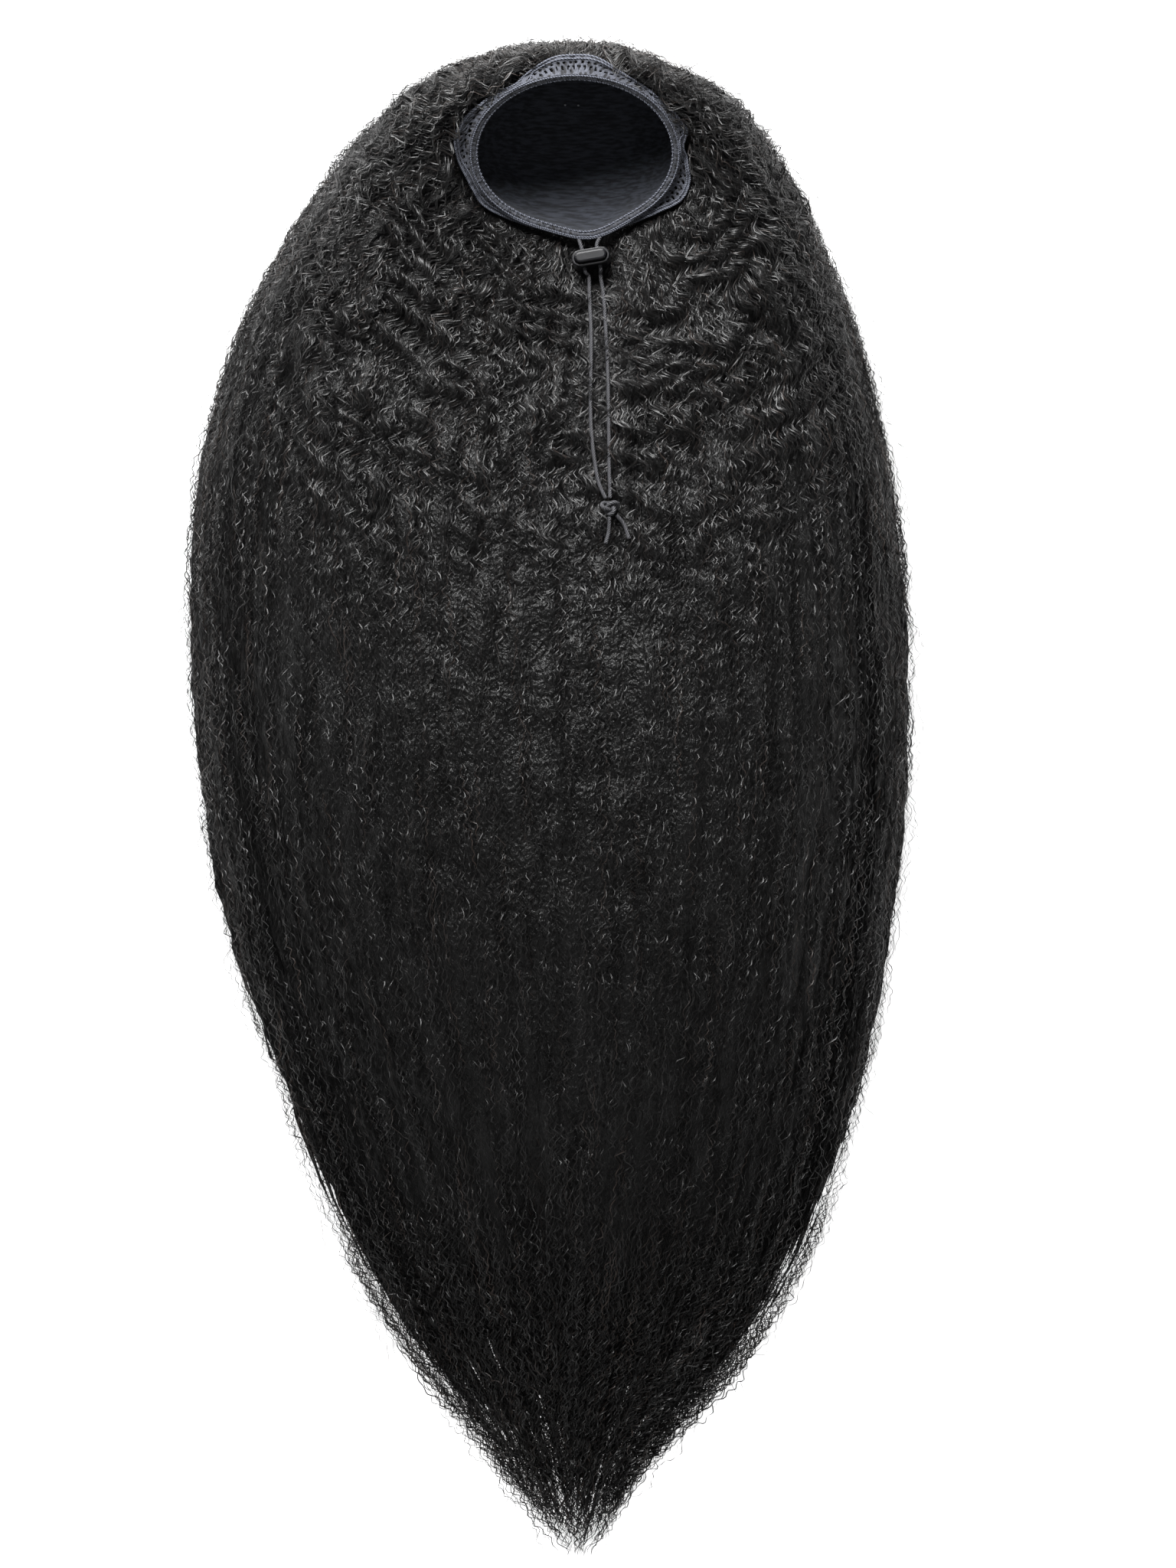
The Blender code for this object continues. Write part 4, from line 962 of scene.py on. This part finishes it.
def lace_dots(tree, uv, colour):
    """The colour, darkened in the openwork dots of the lace and mottled by the grain of its threads, and how
    far each place is from the middle of its dot."""
    # Dots 2.3 mm apart, and grain of 0.5 mm
    pattern = {"voronoi_dimensions": "2D", "feature": "F1", "Scale": 1 / 0.0023, "Randomness": 0.6}
    dots = add_node(tree, "ShaderNodeTexVoronoi", pattern, Vector=uv)
    stops = ((0.20, (0.06, 0.06, 0.08, 1)), (0.34, (1, 1, 1, 1)))
    open_work = add_node(tree, "ShaderNodeValToRGB", {"stops": stops}, Fac=dots.outputs["Distance"])
    grain = add_node(tree, "ShaderNodeTexNoise", {"Scale": 1 / 0.0005, "Detail": 2.0}, Vector=uv)
    stops = ((0.35, (0.45, 0.45, 0.46, 1)), (0.65, (1.0, 1.0, 1.0, 1)))
    threads = add_node(tree, "ShaderNodeValToRGB", {"stops": stops}, Fac=grain.outputs["Fac"])
    multiply = {"data_type": "RGBA", "blend_type": "MULTIPLY", "Factor": 1.0}
    mottled = add_node(tree, "ShaderNodeMix", multiply, i6=colour, i7=threads.outputs["Color"])
    holed = add_node(tree, "ShaderNodeMix", multiply, i6=mottled.outputs[2], i7=open_work.outputs["Color"])
    return holed.outputs[2], dots.outputs["Distance"]


def lace_material():
    """Stretch nylon lace: a soft net of threads with dark openings, matt, clouded where the dye has worn."""
    made, tree, shader = new_material("stretch_nylon_lace")
    uv = add_node(tree, "ShaderNodeUVMap", {"uv_map": "weave"}).outputs["UV"]
    # Cloudy wear of the dye, 6 mm across
    cloud = add_node(tree, "ShaderNodeTexNoise", {"Scale": 1 / 0.006, "Detail": 2.0}, Vector=uv)
    base = tuple(settings().lace_colour)
    stops = ((0.3, shade(base, 0.75)), (0.7, shade(base, 1.25)))
    tint = add_node(tree, "ShaderNodeValToRGB", {"stops": stops}, Fac=cloud.outputs["Fac"])
    colour, from_dot = lace_dots(tree, uv, tint.outputs["Color"])
    tree.links.new(colour, shader.inputs["Base Color"])
    height = add_node(tree, "ShaderNodeMath", {"operation": "MINIMUM", 1: 0.4}, i0=from_dot)
    relief = {"Strength": 0.8, "Distance": 0.0006}
    bump = add_node(tree, "ShaderNodeBump", relief, Height=height.outputs["Value"])
    tree.links.new(bump.outputs["Normal"], shader.inputs["Normal"])
    shader.inputs["Roughness"].default_value = 0.75
    shader.inputs["Sheen Weight"].default_value = 0.15
    return made


def gathered_material():
    """The same lace folded over the drawstring: narrow gathers run across the roll, with painted shade,
    darker than the flat lace and darkest in their hollows.
    """
    made, tree, shader = new_material("gathered_nylon_lace")
    uv = add_node(tree, "ShaderNodeUVMap", {"uv_map": "weave"}).outputs["UV"]
    # Gathers 1.3 mm apart
    drawn = add_node(tree, "ShaderNodeMapping", {"Scale": (1 / 0.0013, 1 / 0.006, 1)}, Vector=uv)
    grain = {"Scale": 1.0, "Detail": 2.0}
    gathers = add_node(tree, "ShaderNodeTexNoise", grain, Vector=drawn.outputs["Vector"])
    base = tuple(settings().lace_colour)
    # Painted shade of the folds: darker than the flat lace, and darkest in the gathers' hollows
    stops = ((0.35, shade(base, 0.35)), (0.65, shade(base, 0.9)))
    tone = add_node(tree, "ShaderNodeValToRGB", {"stops": stops}, Fac=gathers.outputs["Fac"])
    colour, _ = lace_dots(tree, uv, tone.outputs["Color"])
    tree.links.new(colour, shader.inputs["Base Color"])
    relief = {"Strength": 0.9, "Distance": 0.0006}
    bump = add_node(tree, "ShaderNodeBump", relief, Height=gathers.outputs["Fac"])
    tree.links.new(bump.outputs["Normal"], shader.inputs["Normal"])
    shader.inputs["Roughness"].default_value = 0.7
    shader.inputs["Sheen Weight"].default_value = 0.15
    return made


def corded_material():
    """Twisted nylon edging thread: lighter than the net, with slanting plies."""
    made, tree, shader = new_material("corded_nylon_edge")
    uv = add_node(tree, "ShaderNodeUVMap", {"uv_map": "weave"}).outputs["UV"]
    # Plies 0.8 mm apart along the cord
    turned = add_node(tree, "ShaderNodeMapping", {"Rotation": (0, 0, 0.6)}, Vector=uv)
    bands = {"Scale": WAVE_PERIOD / 0.0008, "Distortion": 1.0}
    plies = add_node(tree, "ShaderNodeTexWave", bands, Vector=turned.outputs["Vector"])
    base = tuple(settings().lace_colour)
    # Painted shade in the grooves between plies and painted light on their crowns
    stops = ((0.2, shade(base, 0.5)), (0.8, shade(base, 1.8)))
    tone = add_node(tree, "ShaderNodeValToRGB", {"stops": stops}, Fac=plies.outputs["Fac"])
    tree.links.new(tone.outputs["Color"], shader.inputs["Base Color"])
    relief = {"Strength": 0.6, "Distance": 0.0003}
    bump = add_node(tree, "ShaderNodeBump", relief, Height=plies.outputs["Fac"])
    tree.links.new(bump.outputs["Normal"], shader.inputs["Normal"])
    shader.inputs["Roughness"].default_value = 0.65
    return made


def knit_material():
    """Fine elastane knit: uneven rows of small loops, dull, with painted shade in the gaps between them."""
    made, tree, shader = new_material("elastane_knit")
    place = add_node(tree, "ShaderNodeTexCoord").outputs["Object"]
    # Knit rows 1.1 mm apart, drawn coarser than the real 0.6 mm so that they show, in runs of 6 mm
    rows = add_node(tree, "ShaderNodeMapping", {"Scale": (1 / 0.006, 1 / 0.0011, 1 / 0.0022)}, Vector=place)
    runs = add_node(tree, "ShaderNodeTexNoise", {"Scale": 1.0, "Detail": 3.0}, Vector=rows.outputs["Vector"])
    base = tuple(settings().net_colour)
    # Painted shade: darker where the rows dip, in the gaps between the loops
    stops = ((0.40, shade(base, 0.45)), (0.62, shade(base, 1.4)))
    tone = add_node(tree, "ShaderNodeValToRGB", {"stops": stops}, Fac=runs.outputs["Fac"])
    tree.links.new(tone.outputs["Color"], shader.inputs["Base Color"])
    relief = {"Strength": 0.6, "Distance": 0.0004}
    bump = add_node(tree, "ShaderNodeBump", relief, Height=runs.outputs["Fac"])
    tree.links.new(bump.outputs["Normal"], shader.inputs["Normal"])
    shader.inputs["Roughness"].default_value = 0.85
    shader.inputs["Sheen Weight"].default_value = 0.1
    return made


def make_cap(material):
    """The knitted cap, drawn in a little along each row of hair that is sewn to its outside."""
    columns, rows = 128, 48
    turn = np.linspace(-math.pi, math.pi, columns + 1)[:, None]
    way = np.linspace(0, 1, rows + 1)[None, :]
    depth = 1 - (1 - way) ** 1.8
    radius = CAP_RADIUS(depth) * RIM_RADIUS
    seamless = 2 * np.sin(turn) + 9
    slack = 0.0009 * noise(seamless * 1.7, way * 6 + np.cos(turn), 31)
    slack = slack * smooth_step(way * 8) * smooth_step((1 - way) * 5)
    points = on_cap(turn, radius - slack, CAP_TOP_DEPTH + depth * CAP_DEPTH)
    data = grid_sheet("cap_knit", columns, rows, points, closed=True)
    scale_uv(data, 2 * math.pi * RIM_RADIUS, CAP_WALL)
    piece = add_piece("cap_knit", data, material)
    wall = piece.modifiers.new("wall", "SOLIDIFY")
    wall.thickness, wall.offset = 0.0010, 0
    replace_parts(piece, "cap_net")


def make_stitches():
    """Two small bar tacks of undyed polyester thread, where the cap's knit is closed at its end."""
    material, tree, shader = new_material("bar_tack_thread")
    place = add_node(tree, "ShaderNodeTexCoord").outputs["Object"]
    # Turns of the thread 0.3 mm apart
    bands = {"Scale": WAVE_PERIOD / 0.0003, "Distortion": 1.0}
    turns = add_node(tree, "ShaderNodeTexWave", bands, Vector=place)
    # Painted shade in the grooves between the turns, lighter on the turns themselves
    stops = ((0.2, linear("#8f9298")), (0.8, linear("#d4d6da")))
    tone = add_node(tree, "ShaderNodeValToRGB", {"stops": stops}, Fac=turns.outputs["Fac"])
    tree.links.new(tone.outputs["Color"], shader.inputs["Base Color"])
    shader.inputs["Roughness"].default_value = 0.6
    for name, aside, up in (("left_stitch", -0.0042, 0.0062), ("right_stitch", 0.0013, 0.0060)):
        turn, radius = math.atan2(aside, -up / RIM_SQUASH), math.hypot(aside, up / RIM_SQUASH)
        share = np.interp(radius / RIM_RADIUS, (0.0, 0.32, 0.60), (1.0, 0.97, 0.89))
        depth = CAP_TOP_DEPTH + CAP_DEPTH * share - 0.0009
        line = on_cap(turn, np.linspace(radius - 0.0005, radius + 0.0005, 6), depth)
        radii = 0.00050 * np.sin(np.linspace(0.5, math.pi - 0.5, 6))
        add_piece(name, tube_data(name, line, radii, 8), material)


def rim_place(turn, angle, radius):
    """Points on a tube round the rim: the angle turns from the cap's inside, over its top, to its outside."""
    return on_cap(turn, RIM_RADIUS - radius * np.cos(angle), -radius * np.sin(angle))


def make_casing(gathered, corded):
    """The roll of lace over the drawstring, with its ruffles, and the beaded edge round the mouth."""
    columns, sides = 420, 14
    turn = np.linspace(-math.pi, math.pi, columns + 1)[:, None]
    angle = np.linspace(0, 2 * math.pi, sides + 1)[None, :]
    ruffle = noise(turn * 17, angle * 0, 41) * 0.10 + noise(turn * 40, angle * 0, 42) * 0.07
    ruffle[-1] = ruffle[0]
    points = rim_place(turn, angle, CASING_RADIUS * (0.96 + ruffle))
    data = grid_sheet("casing_roll", columns, sides, points, closed=True)
    scale_uv(data, 2 * math.pi * RIM_RADIUS, 2 * math.pi * CASING_RADIUS)
    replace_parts(add_piece("casing_roll", data, gathered), "drawstring_casing")
    for name, angle, radius, swell, beads in (
        ("picot_edge", 0.35, 0.00055, 0.55, 126),
        ("casing_seam", 1.9, 0.00042, 0.25, 170),
    ):
        turn = np.linspace(-math.pi, math.pi, 6 * beads, endpoint=False)
        line = rim_place(turn, angle, CASING_RADIUS * 1.08)
        radii = radius * (1 - swell + swell * np.abs(np.cos(turn * beads / 2)))
        add_piece(name, tube_data(name, line, radii, 6, ring=True), corded)


def lace_line(turn, share, lift=0.0):
    """Points in the lace: share 0 is where it leaves the casing and 1 its scalloped edge."""
    turn, share = np.broadcast_arrays(turn, share)
    width = lace_width(turn)
    out = width * share
    column = np.interp(turned_back(turn), FLOW.turns, np.arange(FLOW.columns))
    place, _, normal = surface_frame(column, out + 0.0003)
    crumple = noise(turn * 9, out / 0.0035, 51) * 0.0007 + noise(turn * 21, out / 0.002, 52) * 0.0003
    resting = place + normal * (0.0010 + lift + crumple * smooth_step(out / 0.002))[..., None]
    leaving = rim_place(turn, math.radians(125), CASING_RADIUS + 0.0002 + lift)
    part = smooth_step(out / 0.0022)[..., None]
    return leaving * (1 - part) + resting * part


def lace_holes(points):
    """Where the lace has its openwork: staggered rows of round holes, measured in from its scalloped edge."""
    centres = (points[1:, 1:] + points[:-1, 1:] + points[1:, :-1] + points[:-1, :-1]) / 4
    steps = np.linalg.norm(np.diff(points, axis=1), axis=-1)
    steps = (steps[1:] + steps[:-1]) / 2
    inward = np.cumsum(steps[:, ::-1], axis=1)[:, ::-1] - steps / 2
    middle = centres[:, centres.shape[1] // 2]
    along = np.concatenate(([0], np.cumsum(np.linalg.norm(np.diff(middle, axis=0), axis=1))))[:, None]
    room = inward[:, :1]
    open_work = np.zeros(inward.shape, bool)
    for number, row in enumerate((0.0030, 0.0052, 0.0074)):
        off = (along / LACE_PITCH + 0.5 * number) % 1 - 0.5
        beside = np.hypot(off * LACE_PITCH, inward - row)
        open_work |= (beside < 0.00062 + 0.00012 * number) & (room > row + 0.0014)
    return open_work


def make_lace(net, corded):
    """The scalloped band that lies on the hair, with its openwork and its two corded edges."""
    columns, rows = 600, 18
    turn = np.linspace(-math.pi, math.pi, columns + 1)[:, None]
    share = np.linspace(0, 1, rows + 1)[None, :]
    points = lace_line(turn, share)
    points[-1] = points[0]
    data = grid_sheet("lace", columns, rows, points, closed=True, holes=lace_holes(points))
    scale_uv(data, 2 * math.pi * RIM_RADIUS, LACE_WIDTH * 0.6)
    lace = add_piece("scalloped_lace", data, net)
    wall = lace.modifiers.new("wall", "SOLIDIFY")
    wall.thickness, wall.offset = 0.0004, 0
    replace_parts(lace, "lace_band")
    # Its two corded edges: one on the scalloped edge, one 1.4 mm inside it
    turn = np.linspace(-math.pi, math.pi, 900, endpoint=False)
    width = lace_width(turn)
    edge = lace_line(turn, 1.0, 0.0002)
    outer = add_piece("lace_outer_cord", tube_data("lace_outer_cord", edge, 0.0005, 6, True), corded)
    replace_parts(outer, "lace_edging")
    inner = lace_line(turn, np.clip(1 - 0.0014 / width, 0, 1), 0.0003)
    add_piece("lace_inner_cord", tube_data("lace_inner_cord", inner, 0.0004, 6, True), corded)


class PONYTAIL_OT_rim(bpy.types.Operator):
    """Makes the knitted cap, its rolled casing and the lace round it"""

    bl_idname = "ponytail.rim"
    bl_label = "Make Cap and Lace"

    def execute(self, context):
        corded = corded_material()
        make_cap(knit_material())
        make_stitches()
        make_casing(gathered_material(), corded)
        make_lace(lace_material(), corded)
        weft = weft_material()
        for name in ("weft_row_1", "weft_row_2", "weft_row_3", "weft_row_4"):
            dress(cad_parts[name], weft)
        return {"FINISHED"}


def weft_material():
    """Stitched hair roots: black fibre gathered under rows of thread."""
    made, tree, shader = new_material("stitched_weft")
    place = add_node(tree, "ShaderNodeTexCoord").outputs["Object"]
    # Roots 0.8 mm apart
    roots = add_node(tree, "ShaderNodeTexNoise", {"Scale": 1 / 0.0008, "Detail": 2.0}, Vector=place)
    base = tuple(settings().hair_colour)
    stops = ((0.3, shade(base, 0.4)), (0.7, shade(base, 1.3)))
    tone = add_node(tree, "ShaderNodeValToRGB", {"stops": stops}, Fac=roots.outputs["Fac"])
    tree.links.new(tone.outputs["Color"], shader.inputs["Base Color"])
    relief = {"Strength": 0.6, "Distance": 0.0003}
    bump = add_node(tree, "ShaderNodeBump", relief, Height=roots.outputs["Fac"])
    tree.links.new(bump.outputs["Normal"], shader.inputs["Normal"])
    shader.inputs["Roughness"].default_value = 0.6
    return made


# Drawstring and cord lock


def elastic_material():
    """Round elastic braid: slanting yarns over a rubber core, matt dark grey."""
    made, tree, shader = new_material("braided_elastic")
    uv = add_node(tree, "ShaderNodeUVMap", {"uv_map": "weave"}).outputs["UV"]
    # Yarns of the braid 0.7 mm apart
    turned = add_node(tree, "ShaderNodeMapping", {"Rotation": (0, 0, 0.8)}, Vector=uv)
    bands = {"Scale": WAVE_PERIOD / 0.0007, "Distortion": 0.6}
    yarns = add_node(tree, "ShaderNodeTexWave", bands, Vector=turned.outputs["Vector"])
    base = tuple(settings().elastic_colour)
    # Painted shade in the grooves between yarns and painted light on their crowns
    stops = ((0.15, shade(base, 0.45)), (0.8, shade(base, 1.4)))
    tone = add_node(tree, "ShaderNodeValToRGB", {"stops": stops}, Fac=yarns.outputs["Fac"])
    tree.links.new(tone.outputs["Color"], shader.inputs["Base Color"])
    relief = {"Strength": 0.7, "Distance": 0.0003}
    bump = add_node(tree, "ShaderNodeBump", relief, Height=yarns.outputs["Fac"])
    tree.links.new(bump.outputs["Normal"], shader.inputs["Normal"])
    shader.inputs["Roughness"].default_value = 0.6
    return made


def lock_material():
    """Injection-moulded acetal: black with a soft gloss, and a faint unevenness from the mould."""
    made, tree, shader = new_material("moulded_acetal")
    place = add_node(tree, "ShaderNodeTexCoord").outputs["Object"]
    # Flow marks of the mould, 1.5 mm across
    marks = add_node(tree, "ShaderNodeTexNoise", {"Scale": 1 / 0.0015, "Detail": 2.0}, Vector=place)
    base = tuple(settings().plastic_colour)
    stops = ((0.3, shade(base, 0.8)), (0.7, shade(base, 1.3)))
    tone = add_node(tree, "ShaderNodeValToRGB", {"stops": stops}, Fac=marks.outputs["Fac"])
    tree.links.new(tone.outputs["Color"], shader.inputs["Base Color"])
    gloss = add_node(tree, "ShaderNodeMapRange", {"To Min": 0.30, "To Max": 0.36}, Value=marks.outputs["Fac"])
    tree.links.new(gloss.outputs["Result"], shader.inputs["Roughness"])
    relief = {"Strength": 0.1, "Distance": 0.0001}
    bump = add_node(tree, "ShaderNodeBump", relief, Height=marks.outputs["Fac"])
    tree.links.new(bump.outputs["Normal"], shader.inputs["Normal"])
    shader.inputs["IOR"].default_value = 1.42
    shader.inputs["Coat Weight"].default_value = 0.05
    return made


def knot_line(count):
    """An overhand knot pulled tight, closed on itself, round the knot's own place."""
    t = np.linspace(0, 2 * math.pi, count, endpoint=False)
    x = (np.sin(t) + 2 * np.sin(2 * t)) * 0.00122
    y = (np.cos(t) - 2 * np.cos(2 * t)) * 0.00092
    z = -np.sin(3 * t) * 0.00125
    return np.array(KNOT_CENTRE) + np.stack((x, y, z), axis=-1)


class PONYTAIL_OT_drawstring(bpy.types.Operator):
    """Makes the elastic drawstring's two ends, their knot and the finish of the cord lock"""

    bl_idname = "ponytail.drawstring"
    bl_label = "Make Drawstring"

    def execute(self, context):
        elastic, plastic = elastic_material(), lock_material()
        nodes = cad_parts
        radius = CORD_DIAMETER / 2
        knot = tube_data("knot", knot_line(150), radius * 1.06, 10, ring=True)
        knot = add_piece("knot", knot, elastic)
        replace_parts(knot, "drawstring_knot")
        tails = []
        for name, points in (("left_tail", LEFT_TAIL), ("right_tail", RIGHT_TAIL)):
            line, _ = smooth_line(points, 24)
            radii = np.full(24, radius)
            radii[-3:] *= (1.04, 1.08, 1.0)
            tail = add_piece(name, tube_data(name, line, radii, 10), elastic)
            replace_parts(tail, "drawstring_" + name)
            tails.append(tail)
        lock = [nodes["cord_lock_body"], nodes["cord_lock_button"]]
        for piece in lock:
            dress(piece, plastic)
        for name, points, others in (("left_leg", LEFT_LEG, [*lock, knot]), ("right_leg", RIGHT_LEG, tails)):
            line, length = smooth_line(points, 160)
            leg = add_piece(name, tube_data(name, line, radius, 10), elastic)
            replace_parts(leg, "drawstring_" + name)
        dress(nodes["drawstring_ring"], elastic)
        return {"FINISHED"}


# Stage


def make_floor():
    """A white paper tabletop, with a low wall of the same paper far round it."""
    bm = bmesh.new()
    bmesh.ops.create_grid(bm, x_segments=1, y_segments=1, size=FLOOR_REACH)
    bmesh.ops.create_cone(
        bm,
        cap_ends=False,
        segments=96,
        radius1=WALL_RADIUS,
        radius2=WALL_RADIUS,
        depth=WALL_HEIGHT,
        matrix=Matrix.Translation((0, 0, WALL_HEIGHT / 2 - WALL_SUNK)),
    )
    data = bpy.data.meshes.new("tabletop")
    bm.to_mesh(data)
    bm.free()
    made, tree, shader = new_material("white_paper_sweep")
    shader.inputs["Base Color"].default_value = linear("#fafafa")
    shader.inputs["Roughness"].default_value = 0.9
    shader.inputs["Emission Color"].default_value = (1, 1, 1, 1)
    shader.inputs["Emission Strength"].default_value = 0.9
    floor = bpy.data.objects.new("tabletop", data)
    bpy.context.scene.collection.objects.link(floor)
    data.materials.append(made)


def add_area_light(name, place, aim, size, power):
    data = bpy.data.lights.new(name, "AREA")
    data.shape, data.size, data.energy = "SQUARE", size, power
    light = bpy.data.objects.new(name, data)
    bpy.context.scene.collection.objects.link(light)
    light.location = place
    light.rotation_euler = (Vector(aim) - Vector(place)).to_track_quat("-Z", "Y").to_euler()


class PONYTAIL_OT_stage(bpy.types.Operator):
    """Sets the table, the soft light and the camera straight above"""

    bl_idname = "ponytail.stage"
    bl_label = "Set Stage"

    def execute(self, context):
        scene = context.scene
        scene.view_settings.view_transform = "Standard"
        make_floor()
        world = scene.world or bpy.data.worlds.new("studio")
        scene.world = world
        world.use_nodes = True
        background = world.node_tree.nodes["Background"]
        background.inputs["Color"].default_value = (1, 1, 1, 1)
        background.inputs["Strength"].default_value = 0.09
        for light in LIGHTS:
            add_area_light(*light)
        data = bpy.data.cameras.new("camera")
        data.sensor_width, data.lens = SENSOR_WIDTH, CAMERA_LENS
        camera = bpy.data.objects.new("camera", data)
        scene.collection.objects.link(camera)
        camera.location = CAMERA_PLACE
        scene.camera = camera
        return {"FINISHED"}


OPERATORS = (PONYTAIL_OT_stage, PONYTAIL_OT_drawstring, PONYTAIL_OT_rim, PONYTAIL_OT_hair)


class PONYTAIL_PT_panel(bpy.types.Panel):
    """Lists the ponytail's sizes, colours and pieces"""

    bl_label = "Ponytail"
    bl_space_type = "VIEW_3D"
    bl_region_type = "UI"
    bl_category = "Ponytail"

    def draw(self, context):
        for name in PonytailSettings.__annotations__:
            self.layout.prop(context.scene.ponytail, name)
        for operator in OPERATORS:
            self.layout.operator(operator.bl_idname)


CLASSES = (PonytailSettings, *OPERATORS, PONYTAIL_PT_panel)


def register():
    for cls in CLASSES:
        bpy.utils.register_class(cls)
    bpy.types.Scene.ponytail = bpy.props.PointerProperty(type=PonytailSettings)


def unregister():
    del bpy.types.Scene.ponytail
    for cls in reversed(CLASSES):
        bpy.utils.unregister_class(cls)


def main():
    register()
    bpy.ops.ponytail.stage()
    bpy.ops.ponytail.drawstring()
    bpy.ops.ponytail.rim()
    bpy.ops.ponytail.hair()


if __name__ == "__main__":
    main()
